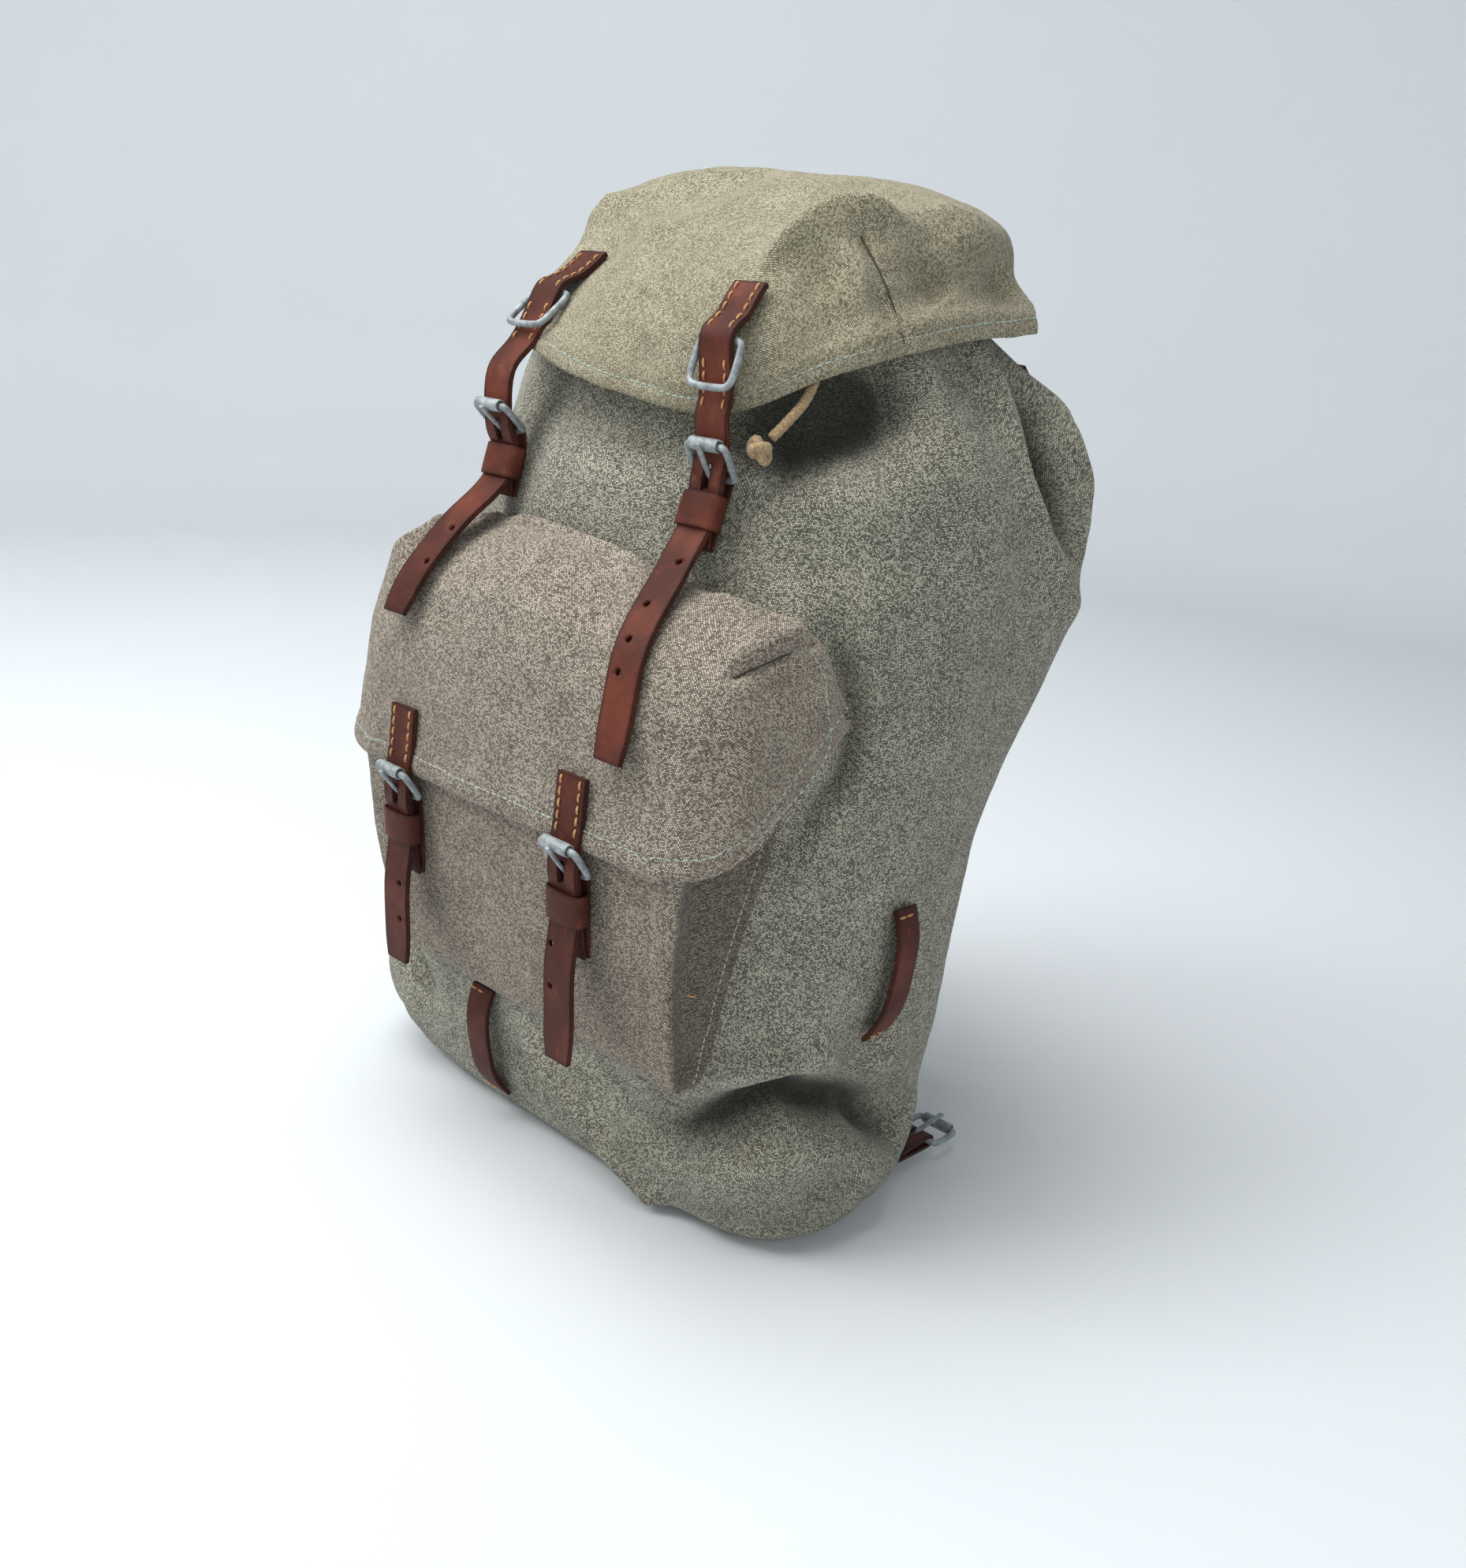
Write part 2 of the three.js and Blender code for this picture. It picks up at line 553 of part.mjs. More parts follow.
// Frame, roller and tongue of a roller buckle; the seat's origin is the middle of the held bar
function rollerBuckle(name, seat, length) {
  piece(name, wireLoop(seat, roundRectangle(BUCKLE_WIDTH, length, BUCKLE_CORNER), WIRE), "metal");
  piece(`${name}_roller`, rollerTube(seat, -length), "metal");
  const hook = WIRE + GAP;
  const tip = seat.at(0, -length - ROLLER_OUTER, ROLLER_OUTER + GAP);
  const tongue = [tip, seat.at(0, -length / 2, ROLLER_OUTER)];
  for (let step = 0; step <= HOOK_STEPS; step += 1) {
    const angle = (step / HOOK_STEPS) * HOOK_TURN;
    tongue.push(seat.at(0, hook * Math.sin(angle), hook * Math.cos(angle)));
  }
  piece(`${name}_tongue`, strip(tongue, { width: TONGUE_WIDTH, thick: TONGUE_THICK }), "metal");
}

// Inner face of a leather fold round a held bar, from its back to its front
function foldRound(seat) {
  const radius = WIRE + GAP;
  return Array.from({ length: HOOK_STEPS + 1 }, (_, step) => {
    const angle = (step / HOOK_STEPS) * Math.PI;
    return seat.at(0, -radius * Math.sin(angle), -radius * Math.cos(angle));
  });
}

function chape(name, line, seat, ...trims) {
  const slot = seat.place(new THREE.BoxGeometry(CHAPE_SLOT, SLOT_LENGTH, SLOT_LENGTH), SLOT_SHIFT, 0);
  piece(name, cut(strip(line, { width: CHAPE_WIDTH, thick: THIN_LEATHER }), slot, ...trims), "leather");
}

// Strap with its fastened buckle, chape and keeper. cloth: the pieces that the strap lies on; start: places
// of the strap's sewn end.
function buckledStrap(name, run, cloth, start = []) {
  const clear = ([x, y, z]) => new THREE.Vector3(x, Math.min(y, frontOf(cloth, x, z, STRAP_WIDTH) - LAY), z);
  const bed = (z) => new THREE.Vector3(run.x, frontOf(cloth, run.x, z, CHAPE_WIDTH), z);
  const middle = run.heel - KEEPER_DROP;
  const flat = new Seat(bed(middle), bed(middle - KEEPER_HEIGHT / 2).sub(bed(middle + KEEPER_HEIGHT / 2)));

  const backLayer = LAY + THIN_LEATHER;
  const keeperBack = backLayer + GAP + KEEPER_THICK;
  const frontLayer = keeperBack + GAP;
  const strapBack = frontLayer + THIN_LEATHER + LAY;
  const keeperFront = strapBack + LEATHER + LAY + GAP;
  const half = KEEPER_HEIGHT / 2 + GAP;

  const heel = flat.at(0, -KEEPER_DROP, backLayer + GAP + WIRE + run.slack);
  const tilt = THREE.MathUtils.degToRad(run.tilt);
  const along = flat.along.clone().multiplyScalar(Math.cos(tilt)).addScaledVector(flat.out, -Math.sin(tilt));
  const seat = new Seat(heel, along);
  const turn = new Seat(heel, flat.at(0, -half, (backLayer + frontLayer) / 2).sub(heel));
  rollerBuckle(`${name}_buckle`, seat, BUCKLE_LENGTH);

  const fold = [
    flat.at(0, run.chape, backLayer), flat.at(0, half, backLayer), flat.at(0, -half, backLayer),
    ...foldRound(turn),
    flat.at(0, -half, frontLayer), flat.at(0, half, frontLayer), flat.at(0, run.chape, backLayer + GAP),
  ];
  chape(`${name}_chape`, fold, turn);

  const band = [[1, keeperBack], [1, keeperFront], [-1, keeperFront], [-1, keeperBack]];
  const loop = band.flatMap(([side, n], i) => {
    const u = side * (STRAP_WIDTH / 2 + LAY + GAP);
    const inward = n === keeperBack ? KEEPER_ROUND : -KEEPER_ROUND;
    const ends = [flat.at(u - side * KEEPER_ROUND, 0, n), flat.at(u, 0, n + inward)];
    return i % 2 === 0 ? ends : ends.reverse();
  });
  const keeper = strip(loop, { width: KEEPER_HEIGHT, thick: KEEPER_THICK, across: flat.along, loop: true });
  piece(`${name}_keeper`, keeper, "leather");

  const places = [
    ...start, ...run.above.map(clear),
    seat.at(0, -BUCKLE_LENGTH, 0).addScaledVector(flat.out, -(ROLLER_OUTER + ROLLER_CLEAR + LEATHER)),
    turn.at(0, 0, WIRE + GAP + THIN_LEATHER + LAY),
    flat.at(0, -half, strapBack), flat.at(0, 0, strapBack), flat.at(0, half, strapBack),
    ...run.below.map(clear),
  ];
  const curve = new THREE.CatmullRomCurve3(places, false, "centripetal");
  const steps = (places.length - 1) * STRAP_STEPS_PER_PLACE;
  const line = curve.getPoints(steps).map(({ x, y, z }) => clear([x, y, z]));
  const hole = seat.place(new THREE.BoxGeometry(...STRAP_HOLE), -BUCKLE_LENGTH / 4, STRAP_HOLE_RISE);
  const strap = strip(line, { width: STRAP_WIDTH, thick: LEATHER, tip: STRAP_TIP });
  piece(`${name}_strap`, cut(strap, hole), "leather");
}

for (const [side, run] of Object.entries(LID_STRAPS)) {
  const { ring } = run;
  lidRing(`lid_ring_${side}`, run);
  const onLid = (z, rise) => offLid(run.x, z, LAY + rise, STRAP_WIDTH);
  const bump = 2 * WIRE + LAY + GAP;
  const start = [
    onLid(ring.top, 0), onLid(ring.high, 0), onLid(ring.held + WIRE, bump), onLid(ring.held - WIRE, bump),
  ];
  buckledStrap(`lid_${side}`, run, [body, lid, flap], start);
}
for (const [side, run] of Object.entries(POCKET_STRAPS)) {
  buckledStrap(`pocket_${side}`, run, [pocket, flap]);
}

// Leather loop sewn down at both ends, standing off the cloth between them
function lashLoop(name, spot, away, width, across) {
  const line = LOOP_SHAPE.map((share, i) => {
    const place = spot(i / (LOOP_SHAPE.length - 1));
    return place.addScaledVector(away, LAY + share * LOOP_RISE);
  });
  piece(name, strip(line, { width, thick: LEATHER, across }), "leather");
}

lashLoop("bottom_lash_loop", (share) => {
  const x = mix(...BOTTOM_LOOP.x, share);
  const z = mix(...BOTTOM_LOOP.z, share);
  return new THREE.Vector3(x, frontOf([body], x, z, BOTTOM_LOOP.width), z);
}, FRONT, BOTTOM_LOOP.width, X);

for (const [side, sign] of Object.entries(SIDES)) {
  const away = new THREE.Vector3(sign, 0, 0);
  const across = new THREE.Vector3(0, sign, 0);
  const spot = (share) => {
    const z = mix(...SIDE_LOOP.z, share);
    const y = mix(...SIDE_LOOP.y, share);
    const hits = ACROSS.map((part) => (
      sight([body], new THREE.Vector3(sign * FAR, y + part * SIDE_LOOP.width, z), away.clone().negate()).x));
    return new THREE.Vector3(sign * Math.max(...hits.map(Math.abs)), y, z);
  };
  lashLoop(`side_lash_loop_${side}`, spot, away, SIDE_LOOP.width, across);
}

// Rearmost depth of the sack at a height, over a width
function backOf(x, z, width) {
  const hits = ACROSS.map((share) => sight([body], new THREE.Vector3(x + share * width, FAR, z), FRONT).y);
  return Math.max(...hits);
}

const yokeShares = Array.from({ length: YOKE.steps + 1 }, (_, i) => i / YOKE.steps);
const yokeSteps = yokeShares.map((share) => mix(YOKE.half, -YOKE.half, share));
const [yokeHigh, yokeLow] = YOKE.z.map((z) => (
  yokeSteps.map((x) => new THREE.Vector3(x, backOf(x, z, YOKE.half / YOKE.steps) + YOKE.lay, z))));
const yokeLine = yokeSteps.map((_, i) => yokeHigh[i].clone().lerp(yokeLow[i], 0.5));
const yokeAcross = yokeSteps.map((_, i) => yokeHigh[i].clone().sub(yokeLow[i]).normalize());
const yokeWidth = yokeHigh[YOKE.steps / 2].distanceTo(yokeLow[YOKE.steps / 2]);
const yoke = strip(yokeLine, { width: yokeWidth, thick: LEATHER, across: yokeAcross });
piece("back_yoke", cut(yoke, bodyRoom), "leather");

for (const [side, sign] of Object.entries(SIDES)) {
  const line = Array.from({ length: SHOULDER_STRAP.steps + 1 }, (_, i) => {
    const share = i / SHOULDER_STRAP.steps;
    const x = sign * mix(...SHOULDER_STRAP.x, share);
    const z = mix(...SHOULDER_STRAP.z, share);
    const hang = z < SHOULDER_STRAP.free ? SHOULDER_STRAP.hang : 0;
    return new THREE.Vector3(x, Math.max(backOf(x, z, SHOULDER_STRAP.width) + SHOULDER_STRAP.lay, hang), z);
  });
  const across = new THREE.Vector3(-1, 0, 0);
  const strap = strip(line, { width: SHOULDER_STRAP.width, thick: LEATHER, across, tip: STRAP_TIP });
  piece(`shoulder_strap_${side}`, strap, "leather");

  const rear = backOf(sign * BACK_BUCKLE.x, BACK_BUCKLE.z, CHAPE_WIDTH);
  const heel = new THREE.Vector3(sign * BACK_BUCKLE.x, rear + BACK_BUCKLE.reach, BACK_BUCKLE.z);
  const seat = new Seat(heel, FRONT);
  rollerBuckle(`back_buckle_${side}`, seat, BACK_BUCKLE.length);
  const root = BACK_BUCKLE.reach + BACK_BUCKLE.root;
  const tab = [seat.at(0, root, -GAP), ...foldRound(seat), seat.at(0, root, GAP)];
  chape(`back_chape_${side}`, tab, seat, bodyRoom);
}

// Draw cord and its knot
const cordLine = new THREE.CatmullRomCurve3(CORD_ROUTE.map(point), false, "centripetal");
const cordSection = new THREE.Shape(Array.from({ length: CORD_SIDES }, (_, i) => {
  const angle = (i / CORD_SIDES) * Math.PI * 2;
  return new THREE.Vector2(CORD_RADIUS * Math.cos(angle), CORD_RADIUS * Math.sin(angle));
}));
const cordSteps = Math.round(cordLine.getLength() / (CORD_RADIUS * 4));
const cord = new THREE.ExtrudeGeometry(cordSection, { steps: cordSteps, extrudePath: cordLine });
piece("draw_cord", cord, "cord");
const cordEnd = cordLine.getPoint(1);
const cordWay = cordLine.getTangent(1);
const knotPlace = cordEnd.clone().addScaledVector(cordWay, KNOT_RADIUS + GAP);
const knot = new THREE.SphereGeometry(KNOT_RADIUS, ROUND_SIDES, ROUND_SIDES / 2);
piece("draw_cord_knot", knot.translate(...knotPlace), "cord");

export default backpack;
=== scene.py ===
"""Military backpack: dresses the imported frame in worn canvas, strap leather and galvanized wire."""
import json
import math
from typing import NamedTuple

import bmesh
import bpy
import numpy as np
from mathutils import Matrix, Vector, noise
from mathutils.bvhtree import BVHTree
from mathutils.kdtree import KDTree

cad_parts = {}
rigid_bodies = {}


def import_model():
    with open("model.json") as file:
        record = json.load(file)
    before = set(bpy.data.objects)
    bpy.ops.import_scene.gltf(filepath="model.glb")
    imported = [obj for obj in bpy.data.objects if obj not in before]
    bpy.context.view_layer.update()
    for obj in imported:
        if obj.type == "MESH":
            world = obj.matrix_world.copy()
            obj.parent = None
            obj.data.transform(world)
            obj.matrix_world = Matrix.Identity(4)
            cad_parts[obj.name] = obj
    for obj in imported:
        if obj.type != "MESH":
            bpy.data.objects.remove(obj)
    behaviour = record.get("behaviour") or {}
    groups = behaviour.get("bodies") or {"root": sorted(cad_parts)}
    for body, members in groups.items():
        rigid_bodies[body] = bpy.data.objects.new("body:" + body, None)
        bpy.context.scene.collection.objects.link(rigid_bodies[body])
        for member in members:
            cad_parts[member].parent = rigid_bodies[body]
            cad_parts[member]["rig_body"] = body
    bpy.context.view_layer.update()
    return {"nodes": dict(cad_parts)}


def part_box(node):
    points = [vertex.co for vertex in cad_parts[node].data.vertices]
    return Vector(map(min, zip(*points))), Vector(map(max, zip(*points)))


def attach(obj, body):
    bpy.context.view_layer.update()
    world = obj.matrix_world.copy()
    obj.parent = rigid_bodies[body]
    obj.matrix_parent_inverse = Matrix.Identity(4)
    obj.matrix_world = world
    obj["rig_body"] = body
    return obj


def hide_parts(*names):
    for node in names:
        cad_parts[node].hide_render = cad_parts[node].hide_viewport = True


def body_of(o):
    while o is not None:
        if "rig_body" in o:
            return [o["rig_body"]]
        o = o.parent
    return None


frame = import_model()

bl_info = {
    "name": "Military Backpack",
    "version": (1, 0, 0),
    "blender": (4, 5, 0),
    "location": "View3D > Sidebar > Backpack",
    "description": "Builds a canvas military backpack round its packed frame",
    "category": "Object",
}

MM = 0.001


def mm(*coordinates):
    """Vector of coordinates given in millimetres."""
    return Vector(coordinates) * MM


BODY = "pack"
SIDES = {"right": 1, "left": -1}
FRONT = Vector((0, -1, 0))
BACK = Vector((0, 1, 0))
TINY = 1e-9

# The photograph: its size, lens centre and focal length in its pixels, and the camera's angles and place
PHOTO_SIZE = (1859, 1988)
LENS_CENTRE = (900, 956)
FOCAL_LENGTH = 1867
SENSOR = 36.0
NEAR_CLIP = 0.01
AZIMUTH = math.radians(42.15)
ELEVATION = math.radians(17.05)
ROLL = math.radians(5.0)
EYE = mm(583.2, -603.5, 492.6)

# The stage: floor that sweeps up to a backdrop, and each light's size, place and target
FLOOR_RADIUS = 2.2
FLOOR_SIDES = 96
FLOOR_MOTTLE = 0.97
SWEEP_STEPS = ((0.03, 1.08), (0.1, 1.06), (0.25, 1.04), (0.5, 1.02), (1.6, 1.0))
BAG_MIDDLE = mm(0, 20, 250)
LIGHTS = {
    "key": {"size": 1.0, "place": mm(-1000, -1450, 1850), "target": BAG_MIDDLE},
    "fill": {"size": 1.4, "place": mm(1500, -900, 800), "target": BAG_MIDDLE},
    "top": {"size": 1.3, "place": mm(-300, -300, 1900), "target": BAG_MIDDLE},
    "wall": {"size": 1.2, "place": mm(-1000, 700, 1900), "target": mm(-2200, 1500, 900)},
}
SKY_COLOUR = (0.97, 0.985, 1.0, 1)

# Weave: the yarn's wander, the spread of its flecks' tones, the ramp from dark to light, and its relief
WEAVE_TONES = ("dark", "middle", "light", "soil")
YARN_WANDER = 0.8
DRIFT_SPREAD = 0.6
PATCH_SPREAD = 0.5
DRIFT_SHIFT = 3.7
FLECK_BASE = 0.26
FLECK_GAIN = 0.8
TONE_STOPS = (0.03, 0.36, 0.85)
FLECK_RELIEF = 0.2
YARN_RELIEF = 0.4

# Leather and metal looks: shares of the worn colour, the scuffs, the dark edges and the tarnish
WORN_SHARE = 0.55
SCUFF_SHARE = 0.25
EDGE_SHARE = 0.85
TARNISH_SHARE = 0.5

# Cloth shells: rows and columns of each, casts for finer lines, passes of smoothing down and along, and the
# hearts that they are cast from
CLOTH_NODES = ("bag_body", "lid", "pocket_body", "pocket_flap")
REACH = 0.6
PIXEL_SLIDE = 0.25
SLIDE_STEPS = 20
SACK_SHAPE = (160, 285)
LID_SHAPE = (105, 360)
FLAP_SHAPE = (120, 260)
POCKET_SHAPE = (110, 240)
SACK_CASTS = 3 * SACK_SHAPE[1]
FLAP_CASTS = 2 * FLAP_SHAPE[0]
POCKET_CASTS = 4 * POCKET_SHAPE[1]
SACK_SMOOTHING = (8, 10)
LID_SMOOTHING = (8, 18)
FLAP_SMOOTHING = (8, 12)
POCKET_SMOOTHING = (6, 1)
SACK_CROWDING = 1.15
LID_STEEPEST = math.radians(80)
RIM_LIMIT = math.radians(-60)
SEAM_LIMIT = math.radians(60)
FLAP_LEVEL = math.radians(5)
SACK_AXIS = 30 * MM
LID_HEART = mm(0, 45, 470)
FLAP_HEART = mm(4, 60, 290)
POCKET_BLUNT = 20
GUSSET_SAG = 0.22
# Painted shade on the gussets: its darkness, and the shares of the way from the front edge to the seam where it
# starts and where it is full
GUSSET_SHADE = 0.55
GUSSET_START = 0.05
GUSSET_FULL = 0.2
POCKET_CRUMPLE = 0.8
CLOTH_WALL = 2 * MM
MERGE_DISTANCE = 0.01 * MM
BASE_SHARES = (0.85, 0.6, 0.3, 0)
BASE_LIFT = 0.1 * MM
SACK_LIP = 0.5 * MM
MOUTH_GATHERS = 36
GATHER_FROM = 430 * MM
GATHER_FULL = 490 * MM

# Darts, the seams of folded-in cloth: lines of photograph pixels, and the radius of the dark tube along each,
# painted shade that stands in for the shadow in its crease
LID_DART = ((1092, 300), (1108, 330), (1121, 357), (1134, 392), (1147, 436))
FLAP_DART = ((930, 860), (960, 846), (1000, 829), (1032, 816))
DART_SHADE_RADIUS = 0.55 * MM


class Fold(NamedTuple):
    """A fold along a line of places, with its lift (inward below 0) and its spread in millimetres.

    A crisp fold has a low power, an open one doesn't fade at its ends, and a twin is also on the hidden side.
    """
    line: tuple
    lift: float
    spread: float
    power: float = 2
    open: bool = False
    twin: bool = False


# Folds of each piece, along lines of photograph pixels
SACK_FOLDS = (
    Fold(((640, 575), (800, 610), (960, 645), (1120, 635), (1260, 600)), lift=5, spread=22),
    Fold(((690, 500), (830, 548), (960, 580), (1100, 550), (1230, 505)), lift=-6, spread=18),
    Fold(((935, 555), (985, 532), (1050, 508), (1110, 488)), lift=-28, spread=24),
    Fold(((1240, 430), (1262, 520), (1285, 610), (1320, 700), (1360, 770)),
         lift=11, spread=11, power=1.4, twin=True),
    Fold(((1295, 440), (1310, 500), (1330, 570), (1352, 640), (1370, 700)), lift=-20, spread=11, twin=True),
    Fold(((1312, 440), (1345, 520), (1372, 590), (1390, 650)), lift=8, spread=9, power=1.4, twin=True),
    Fold(((860, 1440), (930, 1408), (1000, 1388), (1070, 1396), (1135, 1428)),
         lift=-30, spread=11, power=1.5, twin=True),
    Fold(((900, 1385), (960, 1360), (1030, 1345), (1100, 1360)), lift=11, spread=13, twin=True),
    Fold(((900, 1500), (980, 1470), (1060, 1460), (1120, 1470)), lift=10, spread=18, twin=True),
    Fold(((680, 1320), (730, 1390), (785, 1460), (830, 1510)), lift=11, spread=9, power=1.2, open=True),
    Fold(((750, 1340), (800, 1400), (860, 1470)), lift=-5, spread=13),
    Fold(((620, 1310), (680, 1375), (740, 1430)), lift=-5, spread=14),
    Fold(((915, 1520), (940, 1560)), lift=-4, spread=5, power=1.4, open=True, twin=True),
    Fold(((965, 1515), (985, 1560)), lift=-4, spread=5, power=1.4, open=True, twin=True),
    Fold(((1020, 1505), (1040, 1545)), lift=-3, spread=5, power=1.4, open=True, twin=True),
    Fold(((1065, 1485), (1100, 1522)), lift=-5, spread=5, power=1.4, open=True, twin=True),
    Fold(((1105, 1300), (1135, 1350), (1160, 1400)), lift=6, spread=8, power=1.4, twin=True),
    Fold(((1080, 1320), (1105, 1380)), lift=-5, spread=10, twin=True),
    Fold(((1150, 760), (1120, 950), (1090, 1120)), lift=-4, spread=30, twin=True),
    Fold(((1235, 800), (1205, 950)), lift=3, spread=26, twin=True),
    Fold(((1052, 806), (1078, 850), (1090, 940), (1080, 988), (1000, 1072)), lift=-11, spread=9, twin=True),
)
LID_FOLDS = (
    Fold((*LID_DART[:-1], (1145, 424)), lift=-5, spread=4, power=1.2, open=True, twin=True),
    Fold(((1072, 305), (1092, 348), (1110, 398)), lift=5, spread=10, twin=True),
    Fold(((965, 348), (1000, 320), (1030, 300), (1060, 283), (1090, 274), (1118, 275), (1146, 288)),
         lift=15, spread=10, power=1.1, twin=True),
    Fold(((1150, 300), (1185, 332), (1212, 372)), lift=-10, spread=22, twin=True),
    Fold(((1240, 330), (1255, 375)), lift=-3, spread=14),
    Fold(((1146, 276), (1200, 272), (1245, 290), (1272, 325)), lift=6, spread=13, power=1.4),
    Fold(((1285, 340), (1290, 372)), lift=-8, spread=15, open=True, twin=True),
    Fold(((1285, 396), (1300, 400)), lift=6, spread=12, open=True, twin=True),
    Fold(((778, 262), (800, 270), (840, 300)), lift=9, spread=14, power=1.3, open=True),
    Fold(((960, 265), (1040, 250), (1120, 255)), lift=-4, spread=22),
    Fold(((880, 300), (930, 340)), lift=-3, spread=26),
    Fold(((1000, 372), (1040, 342), (1070, 325)), lift=-7, spread=15),
    Fold(((800, 485), (830, 440)), lift=-2, spread=12),
)
FLAP_FOLDS = (
    Fold(FLAP_DART, lift=-5, spread=3.5, power=1.2, open=True),
    Fold(((930, 838), (980, 815), (1030, 800)), lift=5, spread=9, power=1.4),
    Fold(((960, 888), (1010, 868), (1045, 856)), lift=-5, spread=12),
    Fold(((985, 925), (1020, 965)), lift=-3, spread=20),
    Fold(((925, 875), (948, 950), (935, 1050)), lift=4, spread=11, open=True),
    Fold(((560, 760), (600, 830)), lift=-3, spread=24),
    Fold(((510, 690), (560, 668), (630, 658), (720, 690), (850, 742), (930, 775), (1020, 812)),
         lift=9, spread=8, power=1.1),
    Fold(((690, 900), (715, 980)), lift=-2.5, spread=18),
    Fold(((820, 900), (850, 980)), lift=-2.5, spread=20),
    Fold(((700, 740), (800, 790), (900, 830)), lift=-3, spread=18),
    Fold(((505, 690), (530, 720)), lift=5, spread=12, open=True),
)
POCKET_FOLDS = (
    Fold(((815, 1135), (820, 1240), (812, 1320)), lift=-3, spread=12),
    Fold(((765, 1110), (850, 1140)), lift=-2, spread=9),
    Fold(((590, 1120), (600, 1180)), lift=-2, spread=14),
)
FOLD_FADE = 0.3
TWIN_SHARE = 0.8
# Painted shade in the folds: inward lift (mm) where the darkening starts, and the further lift over which it grows
# to full
PAINTED_SHADE_START = 6
PAINTED_SHADE_DEPTH = 12

# Hem stitches up the flap's right side: a line of photograph pixels
FLAP_SIDE = ((1028, 824), (1046, 858), (1054, 940), (1042, 976), (950, 1078))
SIDE_SEAM_STEPS = 40

# Folds across the hidden back: sideways places and heights (mm)
BACK_FOLDS = (
    Fold(((-115, 236), (0, 226), (115, 238)), lift=-6, spread=16),
    Fold(((-120, 262), (0, 254), (120, 264)), lift=3, spread=18),
    Fold(((-40, 120), (-90, 60)), lift=-4, spread=14),
    Fold(((60, 130), (110, 70)), lift=-4, spread=14),
    Fold(((-130, 330), (-85, 420)), lift=-4, spread=15),
)

# Crumple over all cloth: wave length (mm) and height (mm) of each layer
CRUMPLE = ({"wave": 60, "height": 1.4}, {"wave": 24, "height": 0.7}, {"wave": 9, "height": 0.25})
HARDWARE_NEAR = 5 * MM
HARDWARE_FAR = 24 * MM

# Hems: how wide the folded band is, how thick, where its stitches run, and how far its edge stands out
LID_HEM = {"band": 15 * MM, "rise": 0.9 * MM, "stitch": 7 * MM, "flare": 1.5 * MM}
FLAP_HEM = {"band": 13 * MM, "rise": 0.8 * MM, "stitch": 10 * MM, "flare": 3.5 * MM}
FLARE_REACH = 8 * MM
BAND_EDGE = 1.5 * MM
GROOVE_WIDTH = 1.2 * MM
GROOVE_DEPTH = 0.8
GUSSET_STITCH = 5 * MM

# The lid's sides draw in above their hem: how far up, over what spread, how deep, and from how far out
LID_TUCK = {"height": 30 * MM, "spread": 14 * MM, "depth": 7 * MM, "from": 95 * MM, "to": 140 * MM}

# Stitches: half thickness, length and pitch
HEM_THREAD = {"radius": 0.42 * MM, "length": 3.4 * MM, "pitch": 4.4 * MM}
STRAP_THREAD = {"radius": 0.7 * MM, "length": 5.0 * MM, "pitch": 6.2 * MM}

# One stitch: share of its length, share of its radius and rise in radii, ring by ring
STITCH_ARCH = ((0.0, 0.3, -0.6), (0.12, 0.8, 0.35), (0.5, 1.0, 0.75), (0.88, 0.8, 0.35), (1.0, 0.3, -0.6))
STITCH_SIDES = 6

# Leather and metal: rounding and wear of the edges, swell of the wire, and words in the nodes' names
LEATHER_ROUND = 0.7 * MM
METAL_ROUND = 0.35 * MM
ROUND_STEPS = 2
SMOOTH_LEVELS = 2
WIRE_SWELL = 0.3 * MM
SHARP = math.radians(50)
FLAT_ANGLE = math.radians(20)
SHAPE_ANGLE = math.radians(60)
EDGE_STEP = 1 * MM
EDGE_WEAR = 1.8 * MM
LEATHER_WORDS = ("strap", "chape", "keeper", "loop", "yoke")
METAL_WORDS = ("ring", "buckle")
FLAT_WORDS = ("roller", "tongue")

# Punched holes, at photograph pixels on the straps
HOLE_RADIUS = 2.0 * MM
HOLE_DEPTH = 7 * MM
HOLE_SIDES = 20
HOLES = {
    "lid_right_strap": ((861, 712), (820, 765), (797, 810), (783, 852)),
    "lid_left_strap": ((573, 669), (541, 711)),
    "pocket_right_strap": ((698, 1196), (697, 1250)),
    "pocket_left_strap": ((506, 1120), (507, 1165)),
}

# Rows of stitches on the sewn ends of the straps and the front loop: sideways places and heights (mm)
ROW_STEPS = 48
FRONT_ROWS = {
    "lid_right_strap": (((69, 503), (69, 478)), ((83, 503), (83, 478)),
                        ((69, 466), (69, 440)), ((83, 466), (83, 440))),
    "lid_left_strap": (((-80, 512), (-80, 492)), ((-66, 512), (-66, 492)),
                       ((-80, 484), (-80, 462)), ((-66, 484), (-66, 462))),
    "pocket_right_strap": (((64, 263), (64, 232)), ((78, 263), (78, 232))),
    "pocket_left_strap": (((-78, 263), (-78, 232)), ((-64, 263), (-64, 232))),
    "bottom_lash_loop": (((-51, 89), (-34, 89)), ((-47, 23), (-30, 23))),
}

# Rows of stitches on the leather of the back: sideways places and heights (mm)
BACK_ROWS = {
    "back_yoke": (((-116, 470), (116, 470)), ((-116, 458), (116, 458))),
    "shoulder_strap_right": (((28, 444), (68, 112)), ((56, 444), (95, 112)), ((31, 444), (54, 444))),
    "shoulder_strap_left": (((-28, 444), (-68, 112)), ((-56, 444), (-95, 112)), ((-54, 444), (-31, 444))),
}

# Rows of stitches on the ends of the side loops: depths and heights (mm)
SIDE_ROWS = (((3, 190), (18, 190)), ((-7, 123), (8, 123)))

# Bar tack on the pocket's side: its ends at photograph pixels
POCKET_TACK = ((872, 1262), (892, 1266))

